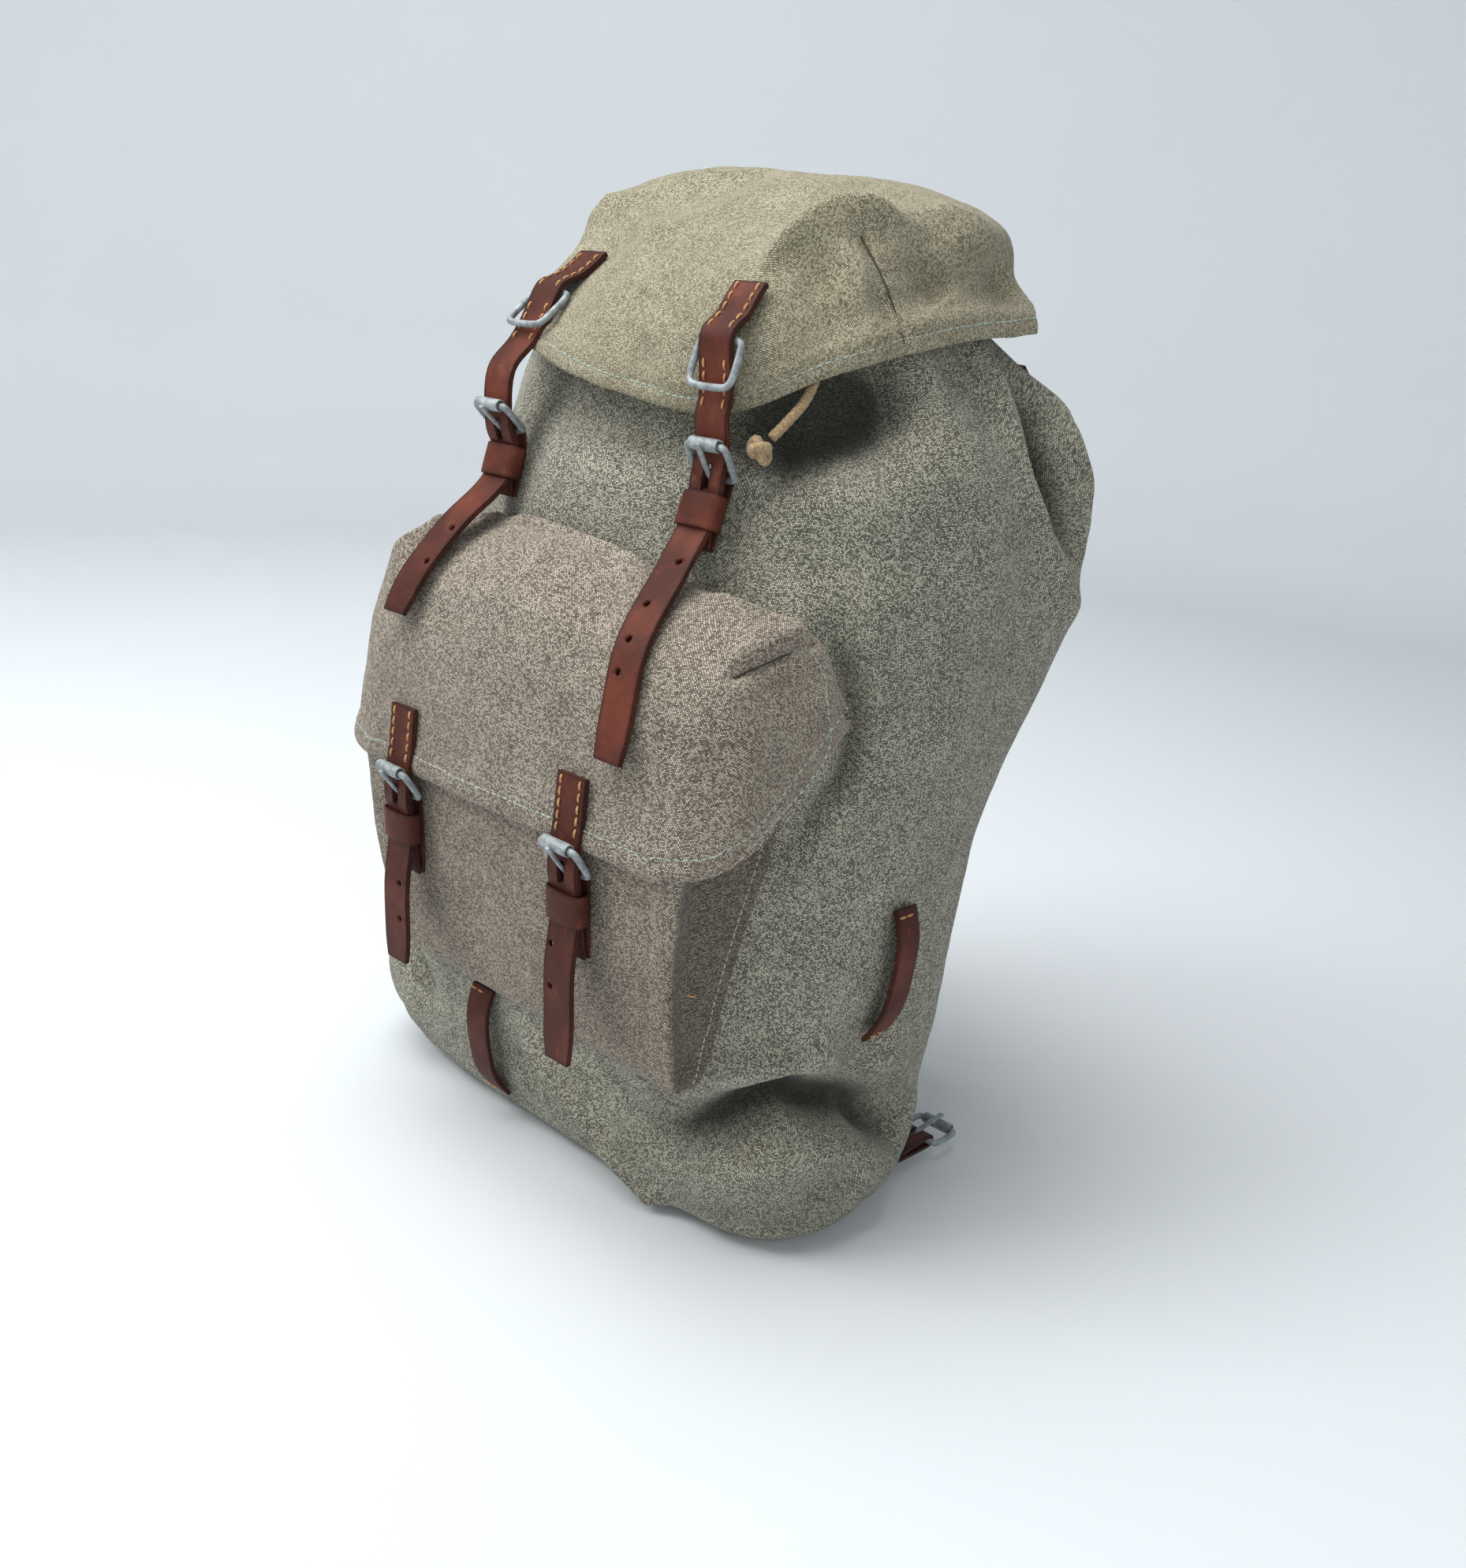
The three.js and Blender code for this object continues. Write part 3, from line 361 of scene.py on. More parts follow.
# Draw cord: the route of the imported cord, its knot, its radius, and how often its strands turn
CORD_ROUTE = (
    (100, -14.4, 483), (104, -18, 474), (107, -23, 463), (108, -31, 450), (105, -40, 439), (102, -47, 431),
)
CORD_RADIUS = 2.7 * MM
KNOT_STEPS = 90
KNOT_SCALE = 2.0 * MM
KNOT_HEIGHT = 1.3
KNOT_RADIUS = 0.95 * CORD_RADIUS
KNOT_TURNS = 1.5
CORD_STEPS = 60
CORD_SIDES = 24
STRAND_LOBES = 3
STRAND_DEPTH = 0.16
STRAND_TURNS = 5.5


def lens_axes():
    """Right, up and back directions of the camera."""
    back = Vector((math.sin(AZIMUTH) * math.cos(ELEVATION), -math.cos(AZIMUTH) * math.cos(ELEVATION),
                   math.sin(ELEVATION)))
    level = Vector((math.cos(AZIMUTH), math.sin(AZIMUTH), 0))
    rise = back.cross(level)
    right = level * math.cos(ROLL) + rise * math.sin(ROLL)
    return right, back.cross(right), back


LENS_RIGHT, LENS_UP, LENS_BACK = lens_axes()


def pixel_ray(pixel):
    """Direction from the eye through a pixel of the photograph."""
    across = (pixel[0] - LENS_CENTRE[0]) / FOCAL_LENGTH
    down = (pixel[1] - LENS_CENTRE[1]) / FOCAL_LENGTH
    return (LENS_RIGHT * across - LENS_UP * down - LENS_BACK).normalized()


class Skin:
    """A piece's surface, for finding places on it."""

    def __init__(self, piece):
        corners = [vertex.co.copy() for vertex in piece.data.vertices]
        self.tree = BVHTree.FromPolygons(corners, [face.vertices[:] for face in piece.data.polygons])

    def toward(self, heart, direction):
        """Outer place met on the way from outside to the heart, or None."""
        return self.tree.ray_cast(heart + direction * REACH, -direction, REACH)[0]

    def in_photo(self, pixel):
        """Place and normal that a pixel shows, or one a little nearer to the middle of the photograph."""
        for share in np.linspace(0, PIXEL_SLIDE, SLIDE_STEPS):
            inward = [mark + (middle - mark) * share for mark, middle in zip(pixel, LENS_CENTRE)]
            place, normal, _, _ = self.tree.ray_cast(EYE, pixel_ray(inward))
            if place is not None:
                return place, normal
        raise RuntimeError(f"nothing at pixel {pixel}")

    def photo_line(self, pixels):
        """Places and normals that a line of pixels shows."""
        return tuple(zip(*(self.in_photo(pixel) for pixel in pixels)))

    def ahead(self, x, z):
        """Place and normal met from the front."""
        return self.tree.ray_cast(Vector((x, -1, z)), BACK)[:2]

    def behind(self, x, z):
        """Place and normal met from the back."""
        return self.tree.ray_cast(Vector((x, 1, z)), FRONT)[:2]

    def beside(self, sign, y, z):
        """Place and normal met from one side."""
        return self.tree.ray_cast(Vector((sign, y, z)), Vector((-sign, 0, 0)))[:2]


def bisected(test, good, bad, steps=24):
    """Last value that passes a test, between a good and a bad one."""
    for _ in range(steps):
        middle = (good + bad) / 2
        good, bad = (middle, bad) if test(middle) else (good, middle)
    return good


def reach_along(line):
    """Distance of each place on a line from its start."""
    steps = np.linalg.norm(np.diff(line, axis=0), axis=1)
    return np.concatenate([[0], np.cumsum(steps)])


def respaced(places, count, closed=False):
    """The same line with points at even distances."""
    line = np.array(places + places[:1] if closed else places, float)
    reach = reach_along(line)
    marks = np.linspace(0, reach[-1], count + 1)[:-1] if closed else np.linspace(0, reach[-1], count)
    return np.stack([np.interp(marks, reach, line[:, axis]) for axis in range(line.shape[1])], axis=1)


def smoothed(grid, down, along, wrap=False):
    """Grid with its facets smoothed down its rows and along them."""
    for axis, passes, loop in ((0, down, False), (1, along, wrap)):
        for _ in range(passes):
            if loop:
                before, after = np.roll(grid, 1, axis), np.roll(grid, -1, axis)
                grid = grid / 2 + (before + after) / 4
            else:
                inner = np.swapaxes(grid, 0, axis).copy()
                inner[1:-1] = inner[1:-1] / 2 + (inner[:-2] + inner[2:]) / 4
                grid = np.swapaxes(inner, 0, axis)
    return grid


def grid_normals(grid, wrap=False):
    """Unit normals of a grid whose rows run down and columns to the right, seen from outside."""
    if wrap:
        along = np.roll(grid, -1, 1) - np.roll(grid, 1, 1)
    else:
        along = np.gradient(grid, axis=1)
    normal = np.cross(np.gradient(grid, axis=0), along)
    return normal / np.maximum(np.linalg.norm(normal, axis=2, keepdims=True), TINY)


def smooth_step(values, low, high):
    """0 below low, 1 above high, smooth between."""
    share = np.clip((values - low) / (high - low), 0, 1)
    return share * share * (3 - 2 * share)


def fold_lift(points, line, fold):
    """Lift of each point by a fold along a line of places."""
    best = np.full(len(points), np.inf)
    along = np.zeros(len(points))
    marks = np.linspace(0, 1, len(line))
    for index, (start, end) in enumerate(zip(line[:-1], line[1:])):
        start, way = np.array(start), np.array(end) - np.array(start)
        share = np.clip((points - start) @ way / (way @ way), 0, 1)
        near = np.linalg.norm(points - start - share[:, None] * way, axis=1)
        along = np.where(near < best, marks[index] + share * (marks[index + 1] - marks[index]), along)
        best = np.minimum(best, near)
    lift = fold.lift * np.exp(-(best / (fold.spread * MM)) ** fold.power)
    if not fold.open:
        lift *= smooth_step(along, -FOLD_FADE, FOLD_FADE) * smooth_step(1 - along, -FOLD_FADE, FOLD_FADE)
    return lift


def place_tree(places):
    """Tree for finding the nearest of some places."""
    tree = KDTree(len(places))
    for index, place in enumerate(places):
        tree.insert(place, index)
    tree.balance()
    return tree


def hardware_room(points):
    """0 where leather or metal lies on the cloth, 1 away from it."""
    hard = [node for name, node in frame["nodes"].items() if name not in CLOTH_NODES and "cord" not in name]
    tree = place_tree([vertex.co for node in hard for vertex in node.data.vertices])
    near = np.array([tree.find(point)[2] for point in points])
    return smooth_step(near, HARDWARE_NEAR, HARDWARE_FAR)


def creased(grid, folds, skin, wrap=False, behind=(), crumple=1.0):
    """Grid lifted along its normals by folds and by crumple, away from the hardware, and the painted shade that
    darkens its deep inward folds.
    """
    points = grid.reshape(-1, 3)
    lift = np.zeros(len(points))
    for fold in folds:
        line = skin.photo_line(fold.line)[0]
        lift += fold_lift(points, line, fold)
        if fold.twin:
            lift += TWIN_SHARE * fold_lift(points * (-1, 1, 1), line, fold)
    for fold in behind:
        lift += fold_lift(points, [skin.behind(x * MM, z * MM)[0] for x, z in fold.line], fold)
    room = hardware_room(points)
    # Painted shade: inward folds deeper than the start are darkened in the colour, standing in for the shadow in
    # their crease, away from the hardware
    hollow = np.clip((-lift - PAINTED_SHADE_START) / PAINTED_SHADE_DEPTH, 0, 1) * room
    for layer in CRUMPLE:
        waves = points / (layer["wave"] * MM)
        lift += crumple * layer["height"] * np.array([noise.noise(wave) for wave in waves])
    normals = grid_normals(grid, wrap).reshape(-1, 3)
    return (points + normals * (lift * room * MM)[:, None]).reshape(grid.shape), hollow.reshape(grid.shape[:2])


def from_hem(grid):
    """Distance of each place from the last row, along its column."""
    steps = np.linalg.norm(np.diff(grid, axis=0), axis=2)
    reach = np.cumsum(steps[::-1], axis=0)[::-1]
    return np.concatenate([reach, np.zeros((1, grid.shape[1]))])


def hemmed(grid, hem, wrap=False):
    """Grid with a folded band along its last row."""
    reach = from_hem(grid)
    band = 1 - smooth_step(reach, hem["band"] - BAND_EDGE, hem["band"] + BAND_EDGE)
    groove = np.exp(-((reach - hem["stitch"]) / GROOVE_WIDTH) ** 2)
    lift = hem["rise"] * (band - GROOVE_DEPTH * groove) + hem["flare"] * np.exp(-reach / FLARE_REACH)
    return grid + grid_normals(grid, wrap) * lift[..., None]


def hem_line(grid, normals, distance):
    """Line on a grid at a distance from its last row, with its normals."""
    reach = from_hem(grid)
    line, sides = [], []
    for column in range(grid.shape[1]):
        row = len(reach) - 1 - np.searchsorted(reach[::-1, column], distance)
        row = int(np.clip(row, 0, len(reach) - 1))
        line.append(grid[row, column])
        sides.append(normals[row, column])
    return np.array(line), np.array(sides)


def new_piece(name, mesh, finish, slot, body, *nodes):
    """Object for a finished mesh, with its material, its body and the nodes that it stands for."""
    piece = bpy.data.objects.new(name, mesh)
    bpy.context.scene.collection.objects.link(piece)
    mesh.materials.clear()
    mesh.materials.append(finish)
    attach(piece, body)
    if nodes:
        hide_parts(*nodes)
    return piece


def applied(piece, kind, **settings):
    """Adds a modifier to a piece and applies it."""
    modifier = piece.modifiers.new(kind.title(), kind)
    for key, value in settings.items():
        setattr(modifier, key, value)
    bpy.ops.object.select_all(action="DESELECT")
    bpy.context.view_layer.objects.active = piece
    piece.select_set(True)
    bpy.ops.object.modifier_apply(modifier=modifier.name)


def unrolled(grid, wrap=False):
    """Flat places of a grid's points: along the rows from their middle, and down the columns."""
    if wrap:
        grid = np.concatenate([grid, grid[:, :1]], axis=1)
    along = np.cumsum(np.linalg.norm(np.diff(grid, axis=1), axis=2), axis=1)
    along = np.concatenate([np.zeros((len(grid), 1)), along], axis=1)
    along -= along[:, grid.shape[1] // 2][:, None]
    down = np.cumsum(np.linalg.norm(np.diff(grid, axis=0), axis=2), axis=0)
    down = np.concatenate([np.zeros((1, grid.shape[1])), down])
    return np.stack([along, -down], axis=2)


def spread_out(grid):
    """Flat places of a dome's points, each column laid out straight from the crown."""
    flat = unrolled(grid, True)
    turn = np.linspace(0, math.tau, flat.shape[1])
    return np.stack([flat[..., 1] * np.sin(turn), flat[..., 1] * np.cos(turn)], axis=2)


def shell(name, grid, hollow, chart, finish, slot, *nodes, wrap=False, pole=False):
    """Cloth wall over a grid of places, with a UV map in metres and an attribute of painted shade for its folds and
    recesses.
    """
    rows, columns = grid.shape[:2]
    spans = columns if wrap else columns - 1
    row, column = (part.ravel() for part in np.mgrid[0:rows - 1, 0:spans])
    corners = ((row, column), (row + 1, column), (row + 1, column + 1), (row, column + 1))
    faces = np.stack([down * columns + along % columns for down, along in corners], axis=1)
    mesh = bpy.data.meshes.new(name)
    mesh.from_pydata(grid.reshape(-1, 3), [], faces.tolist())
    layer = mesh.uv_layers.new(name="UVMap")
    layer.data.foreach_set("uv", np.stack([chart[down, along] for down, along in corners], axis=1).ravel())
    mesh.attributes.new("hollow", "FLOAT", "POINT").data.foreach_set("value", hollow.ravel())
    if pole:
        work = bmesh.new()
        work.from_mesh(mesh)
        bmesh.ops.remove_doubles(work, verts=work.verts[:], dist=MERGE_DISTANCE)
        work.to_mesh(mesh)
        work.free()
    piece = new_piece(name, mesh, finish, slot, BODY, *nodes)
    applied(piece, "SOLIDIFY", thickness=CLOTH_WALL, offset=-1)
    mesh.shade_smooth()
    return piece


def skinned(work, rings):
    """Faces between rings of corners, and over both ends."""
    for first, second in zip(rings[:-1], rings[1:]):
        for corner in range(len(first)):
            after = (corner + 1) % len(first)
            work.faces.new((first[corner], first[after], second[after], second[corner]))
    work.faces.new(rings[0][::-1])
    work.faces.new(rings[-1])


def smooth_mesh(name, work):
    """Mesh of finished work, shaded smooth."""
    mesh = bpy.data.meshes.new(name)
    work.to_mesh(mesh)
    work.free()
    mesh.shade_smooth()
    return mesh


def stitches(name, line, normals, thread, finish, slot):
    """Row of stitches along a line on a surface."""
    reach = reach_along(line)

    def at(mark, values):
        return Vector([np.interp(mark, reach, part) for part in np.transpose(values)])

    work = bmesh.new()
    for index in range(max(1, int(reach[-1] / thread["pitch"]))):
        start = index * thread["pitch"]
        end = start + thread["length"]
        stitch(work, at(start, line), at(end, line), at(start, normals).normalized(), thread["radius"])
    new_piece(name, smooth_mesh(name, work), finish, slot, BODY)


def stitch(work, start, end, side, radius):
    """One stitch: a short thread that rises out of the surface and goes back in."""
    way = end - start
    across = way.cross(side).normalized()
    rings = []
    for share, swell, rise in STITCH_ARCH:
        centre = start + way * share + side * radius * rise
        ring = []
        for corner in range(STITCH_SIDES):
            angle = corner / STITCH_SIDES * math.tau
            offset = across * math.cos(angle) + side * math.sin(angle)
            ring.append(work.verts.new(centre + offset * radius * swell))
        rings.append(ring)
    skinned(work, rings)


def spline(points, steps=12):
    """Smooth line through points."""
    line = [points[0] * 2 - points[1], *points, points[-1] * 2 - points[-2]]
    places = []
    for before, start, end, after in zip(line, line[1:], line[2:], line[3:]):
        for step in range(steps):
            t = step / steps
            places.append(0.5 * (2 * start + (end - before) * t
                                 + (2 * before - 5 * start + 4 * end - after) * t ** 2
                                 + (3 * start - before - 3 * end + after) * t ** 3))
    return places + [points[-1]]


def strand_tube(name, route, radius, turns):
    """Tube of twisted strands along a route."""
    route = [Vector(point) for point in route]
    work = bmesh.new()
    side = (route[1] - route[0]).orthogonal()
    rings = []
    for index, point in enumerate(route):
        way = (route[min(index + 1, len(route) - 1)] - route[max(index - 1, 0)]).normalized()
        side = (side - way * side.dot(way)).normalized()
        other = way.cross(side)
        twist = index / (len(route) - 1) * turns * math.tau
        ring = []
        for corner in range(CORD_SIDES):
            angle = corner / CORD_SIDES * math.tau
            groove = 1 - abs(math.cos(STRAND_LOBES / 2 * (angle - twist)))
            out = side * math.cos(angle) + other * math.sin(angle)
            ring.append(work.verts.new(point + out * radius * (1 - STRAND_DEPTH * groove)))
        rings.append(ring)
    skinned(work, rings)
    return smooth_mesh(name, work)


class Tone:
    """A number that a shader socket gives, with arithmetic that adds Math nodes."""

    def __init__(self, finish, socket):
        self.finish = finish
        self.socket = socket

    def math(self, operation, *others):
        inputs = dict(enumerate((self, *others)))
        return self.finish.node("ShaderNodeMath", {"operation": operation}, inputs)

    def __add__(self, other):
        return self.math("ADD", other)

    def __sub__(self, other):
        return self.math("SUBTRACT", other)

    def __mul__(self, other):
        return self.math("MULTIPLY", other)

    def __truediv__(self, other):
        return self.math("DIVIDE", other)

    def __rsub__(self, other):
        return self.finish.node("ShaderNodeMath", {"operation": "SUBTRACT"}, {0: other, 1: self})

    __radd__ = __add__


class Finish:
    """A material and its node tree."""

    def __init__(self, name, **constants):
        self.material = bpy.data.materials.new(name)
        self.material.use_nodes = True
        self.tree = self.material.node_tree
        self.surface = self.tree.nodes["Principled BSDF"]
        for socket, value in constants.items():
            self.surface.inputs[socket.replace("_", " ")].default_value = value

    def node(self, kind, settings, inputs, output=0):
        """Adds a node with its settings and its inputs, and gives one output."""
        node = self.tree.nodes.new(kind)
        for key, value in settings.items():
            if key == "stops":
                self.stops(node.color_ramp, value)
            else:
                setattr(node, key, value)
        for key, value in inputs.items():
            self.feed(node.inputs[key], value)
        return Tone(self, node.outputs[output])

    @staticmethod
    def stops(ramp, values):
        while len(ramp.elements) < len(values):
            ramp.elements.new(1)
        for element, (place, colour) in zip(ramp.elements, values):
            element.position = place
            element.color = (*colour, 1)

    def feed(self, socket, value):
        if isinstance(value, Tone):
            self.tree.links.new(value.socket, socket)
        else:
            socket.default_value = value

    def paint(self, socket, value):
        self.feed(self.surface.inputs[socket], value)

    def mix(self, share, first, second):
        colours = [value if isinstance(value, Tone) else (*value, 1) for value in (first, second)]
        return self.node("ShaderNodeMix", {"data_type": "RGBA"}, {0: share, 6: colours[0], 7: colours[1]}, 2)

    def cloud(self, vector, scale, detail=3, rough=0.55):
        inputs = {"Vector": vector, "Scale": scale, "Detail": detail, "Roughness": rough}
        return self.node("ShaderNodeTexNoise", {}, inputs)

    def point(self, x, y):
        return self.node("ShaderNodeCombineXYZ", {}, {0: x, 1: y})

    def place(self):
        return self.node("ShaderNodeTexCoord", {}, {}, 3)

    def step(self, value, low, high):
        inputs = {"Value": value, "From Min": low, "From Max": high}
        return self.node("ShaderNodeMapRange", {"interpolation_type": "SMOOTHSTEP"}, inputs)

    def bump(self, height, distance, strength):
        inputs = {"Height": height, "Distance": distance, "Strength": strength}
        self.paint("Normal", self.node("ShaderNodeBump", {}, inputs))


def woven(cloth, dash):
    """Flecked weave: a lattice of pale dots on dark yarn along the UV map, each dot of its own tone, soiled in
    patches and darkened with painted shade where the folds and recesses lie.
    """
    look = bpy.context.scene.backpack_cloth
    dark, middle, light, soil = (getattr(look, f"{cloth}_{part}")[:] for part in WEAVE_TONES)
    finish = Finish(f"{cloth}_weave", Roughness=0.95, Sheen_Weight=0.08, Sheen_Roughness=0.6, Specular_IOR_Level=0.1)
    uv = finish.node("ShaderNodeUVMap", {"uv_map": "UVMap"}, {})
    u, v = (finish.node("ShaderNodeSeparateXYZ", {}, {0: uv}, part) for part in range(2))
    wander = finish.cloud(uv, scale=110, detail=2) - 0.5
    across = v / look.yarn + wander * YARN_WANDER
    row = across.math("FLOOR")
    along = u / dash + row * look.twill + wander
    column = along.math("FLOOR")
    spot = finish.point(column, row)
    fleck = finish.node("ShaderNodeTexWhiteNoise", {"noise_dimensions": "2D"}, {"Vector": spot})
    crown = across.math("FRACT") * 2 - 1
    swell = along.math("FRACT") * 2 - 1
    dot = (1 - crown * crown) * (1 - swell * swell)
    drift = finish.cloud(finish.point(u / look.drift, row * DRIFT_SHIFT), scale=1, detail=2)
    patch = finish.cloud(finish.place(), scale=45, detail=4)
    pale = fleck + (drift - 0.5) * DRIFT_SPREAD + (patch - 0.5) * PATCH_SPREAD
    tone = dot * (FLECK_BASE + pale * FLECK_GAIN)
    stops = tuple(zip(TONE_STOPS, (dark, middle, light)))
    colour = finish.node("ShaderNodeValToRGB", {"stops": stops}, {0: tone})
    grime = finish.step(finish.cloud(finish.place(), scale=8, detail=5, rough=0.6), low=0.48, high=0.75)
    colour = finish.mix(grime * look.soil, colour, soil)
    # Painted shade: where the attribute marks folds and recesses, the colour goes towards half the dark yarn,
    # standing in for their shadow
    hollow = finish.node("ShaderNodeAttribute", {"attribute_name": "hollow"}, {}, 2)
    colour = finish.mix(hollow * look.shade, colour, tuple(part / 2 for part in dark))
    finish.paint("Base Color", colour)
    finish.bump(dot + fleck * FLECK_RELIEF, distance=look.yarn * YARN_RELIEF, strength=0.3)
    return finish.material


def strap_leather():
    """Oiled strap leather with dark worn edges, scuffs and fine grain."""
    look = bpy.context.scene.backpack_leather
    finish = Finish("strap_leather", Specular_IOR_Level=0.12)
    place = finish.place()
    edge = finish.node("ShaderNodeAttribute", {"attribute_name": "edge"}, {}, 2)
    broad = finish.cloud(place, scale=22, detail=4)
    fine = finish.cloud(place, scale=260, detail=4, rough=0.65)
    colour = finish.mix(finish.step(broad, low=0.42, high=0.72), look.dark[:], look.red[:])
    worn = finish.step(finish.cloud(place, scale=75, detail=5, rough=0.7), low=0.56, high=0.78)
    colour = finish.mix(worn * WORN_SHARE, colour, look.worn[:])
    rim = finish.step(edge + (fine - 0.5) * 0.5, low=0.25, high=0.95)
    colour = finish.mix(rim * EDGE_SHARE, colour, look.edge[:])
    scuff = finish.step(finish.cloud(place, scale=420, detail=2, rough=0.8), low=0.66, high=0.8)
    colour = finish.mix(scuff * SCUFF_SHARE, colour, look.worn[:])
    finish.paint("Base Color", colour)
    finish.paint("Roughness", 0.38 + fine * 0.22 + worn * 0.12)
    pore = finish.node("ShaderNodeTexVoronoi", {}, {"Vector": place, "Scale": 900})
    finish.bump(fine * 0.8 + pore * 0.5 + broad * 0.6, distance=0.35 * MM, strength=0.5)
    return finish.material


def galvanized_wire():
    """Dull zinc, mottled, dark in its scratches."""
    look = bpy.context.scene.backpack_metal
    finish = Finish("galvanized_wire", Metallic=0.45, Specular_IOR_Level=0.3)
    place = finish.place()
    mottle = finish.cloud(place, scale=190, detail=4, rough=0.65)
    colour = finish.mix(finish.step(mottle, low=0.35, high=0.68), look.dull[:], look.bright[:])
    tarnish = finish.step(finish.cloud(place, scale=480, rough=0.7), low=0.58, high=0.72)
    colour = finish.mix(tarnish * TARNISH_SHARE, colour, look.tarnish[:])
    finish.paint("Base Color", colour)
    finish.paint("Roughness", 0.5 + mottle * 0.25)
    finish.bump(mottle + tarnish * 0.3, distance=0.3 * MM, strength=0.6)
    return finish.material


def thread_finish(name, pale, deep):
    """Waxed thread, also used for the dark tube of painted shade along the darts."""
    finish = Finish(name, Roughness=0.75)
    tone = finish.cloud(finish.place(), scale=700, detail=2)
    finish.paint("Base Color", finish.mix(finish.step(tone, low=0.35, high=0.65), deep, pale))
    finish.bump(tone, distance=0.15 * MM, strength=0.5)
    return finish.material


def cord_fibre():
    """Tan plant fibre, hairy and uneven."""
    look = bpy.context.scene.backpack_cord
    finish = Finish("cord_fibre", Roughness=0.9, Sheen_Weight=0.2)
    strand = finish.cloud(finish.place(), scale=900, rough=0.7)
    colour = finish.mix(finish.step(strand, low=0.34, high=0.68), look.deep[:], look.pale[:])
    finish.paint("Base Color", colour)
    finish.bump(strand, distance=0.4 * MM, strength=0.8)
    return finish.material


def hem_thread():
    """The pale thread of the hems, made once."""
    look = bpy.context.scene.backpack_cloth
    made = bpy.data.materials.get("hem_thread")
    return made or thread_finish("hem_thread", look.thread_pale[:], look.thread_deep[:])


def dart(name, cloth, pixels, tone, slot):
    """Thin dark tube along a dart's seam, along a line of pixels on a finished cloth: painted shade that stands in
    for the shadow in the crease.
    """
    route = respaced(spline(Skin(cloth).photo_line(pixels)[0]), CORD_STEPS)
    finish = thread_finish(name, tone, tuple(part / 2 for part in tone))
    new_piece(name, strand_tube(name, route, DART_SHADE_RADIUS, 0), finish, slot, BODY)


def colour_property(name, description, default):
    """A colour that a user may change."""
    return bpy.props.FloatVectorProperty(name=name, description=description, default=default, subtype="COLOR",
                                         size=3, min=0, max=1)


def length_property(name, description, default):
    """A length that a user may change."""
    return bpy.props.FloatProperty(name=name, description=description, default=default, unit="LENGTH", precision=5)


def power_property(name, description, default):
    """A light's power that a user may change."""
    return bpy.props.FloatProperty(name=name, description=description, default=default, unit="POWER")


class BackpackCloth(bpy.types.PropertyGroup):
    """Sizes and colours of the weave."""
    sack_dark: colour_property("Sack Dark", "Dark yarn of the sack", (0.040, 0.040, 0.032))
    sack_middle: colour_property("Sack Middle", "Middle yarn of the sack", (0.215, 0.207, 0.160))
    sack_light: colour_property("Sack Light", "Pale yarn of the sack", (0.86, 0.825, 0.66))
    sack_soil: colour_property("Sack Soil", "Soiled patches of the sack", (0.10, 0.095, 0.07))
    lid_dark: colour_property("Lid Dark", "Dark yarn of the lid", (0.080, 0.070, 0.042))
    lid_middle: colour_property("Lid Middle", "Middle yarn of the lid", (0.272, 0.244, 0.160))
    lid_light: colour_property("Lid Light", "Pale yarn of the lid", (0.68, 0.635, 0.495))
    lid_soil: colour_property("Lid Soil", "Soiled patches of the lid", (0.22, 0.19, 0.12))
    flap_dark: colour_property("Flap Dark", "Dark yarn of the flap", (0.055, 0.044, 0.034))
    flap_middle: colour_property("Flap Middle", "Middle yarn of the flap", (0.228, 0.192, 0.149))
    flap_light: colour_property("Flap Light", "Pale yarn of the flap", (0.745, 0.67, 0.545))
    flap_soil: colour_property("Flap Soil", "Soiled patches of the flap", (0.16, 0.12, 0.085))
    pocket_dark: colour_property("Pocket Dark", "Dark yarn of the pocket", (0.050, 0.042, 0.032))
    pocket_middle: colour_property("Pocket Middle", "Middle yarn of the pocket", (0.209, 0.171, 0.133))
    pocket_light: colour_property("Pocket Light", "Pale yarn of the pocket", (0.707, 0.61, 0.487))
    pocket_soil: colour_property("Pocket Soil", "Soiled patches of the pocket", (0.13, 0.11, 0.08))
    thread_pale: colour_property("Thread Pale", "Pale hem thread", (0.44, 0.54, 0.48))
    thread_deep: colour_property("Thread Deep", "Dark hem thread", (0.24, 0.31, 0.275))
    yarn: length_property("Yarn", "Pitch of the yarns", 0.82 * MM)
    dash: length_property("Dash", "Length of one fleck on the sack and lid", 0.95 * MM)
    long_dash: length_property("Long Dash", "Length of one fleck on the pocket and flap", 1.2 * MM)
    drift: length_property("Drift", "Length over which a yarn changes tone", 3 * MM)
    twill: bpy.props.FloatProperty(name="Twill", description="Shift of each yarn against the next", default=0.5)
    soil: bpy.props.FloatProperty(name="Soil", description="Strength of the soiled patches", default=0.3,
                                  subtype="FACTOR")
    # Shade: how dark the painted shade in the folds and recesses is, standing in for their shadow
    shade: bpy.props.FloatProperty(name="Shade", description="Darkness of the painted_shadow in the folds", default=0.85,
                                   subtype="FACTOR")


class BackpackLeather(bpy.types.PropertyGroup):
    """Colours of the leather."""
    red: colour_property("Red", "Main colour", (0.150, 0.038, 0.022))
    dark: colour_property("Dark", "Oiled colour", (0.062, 0.018, 0.012))
    worn: colour_property("Worn", "Rubbed colour", (0.22, 0.072, 0.042))
    edge: colour_property("Edge", "Colour of the cut edges", (0.020, 0.010, 0.008))
    thread_pale: colour_property("Thread Pale", "Pale strap thread", (0.62, 0.33, 0.13))
    thread_deep: colour_property("Thread Deep", "Dark strap thread", (0.36, 0.17, 0.06))


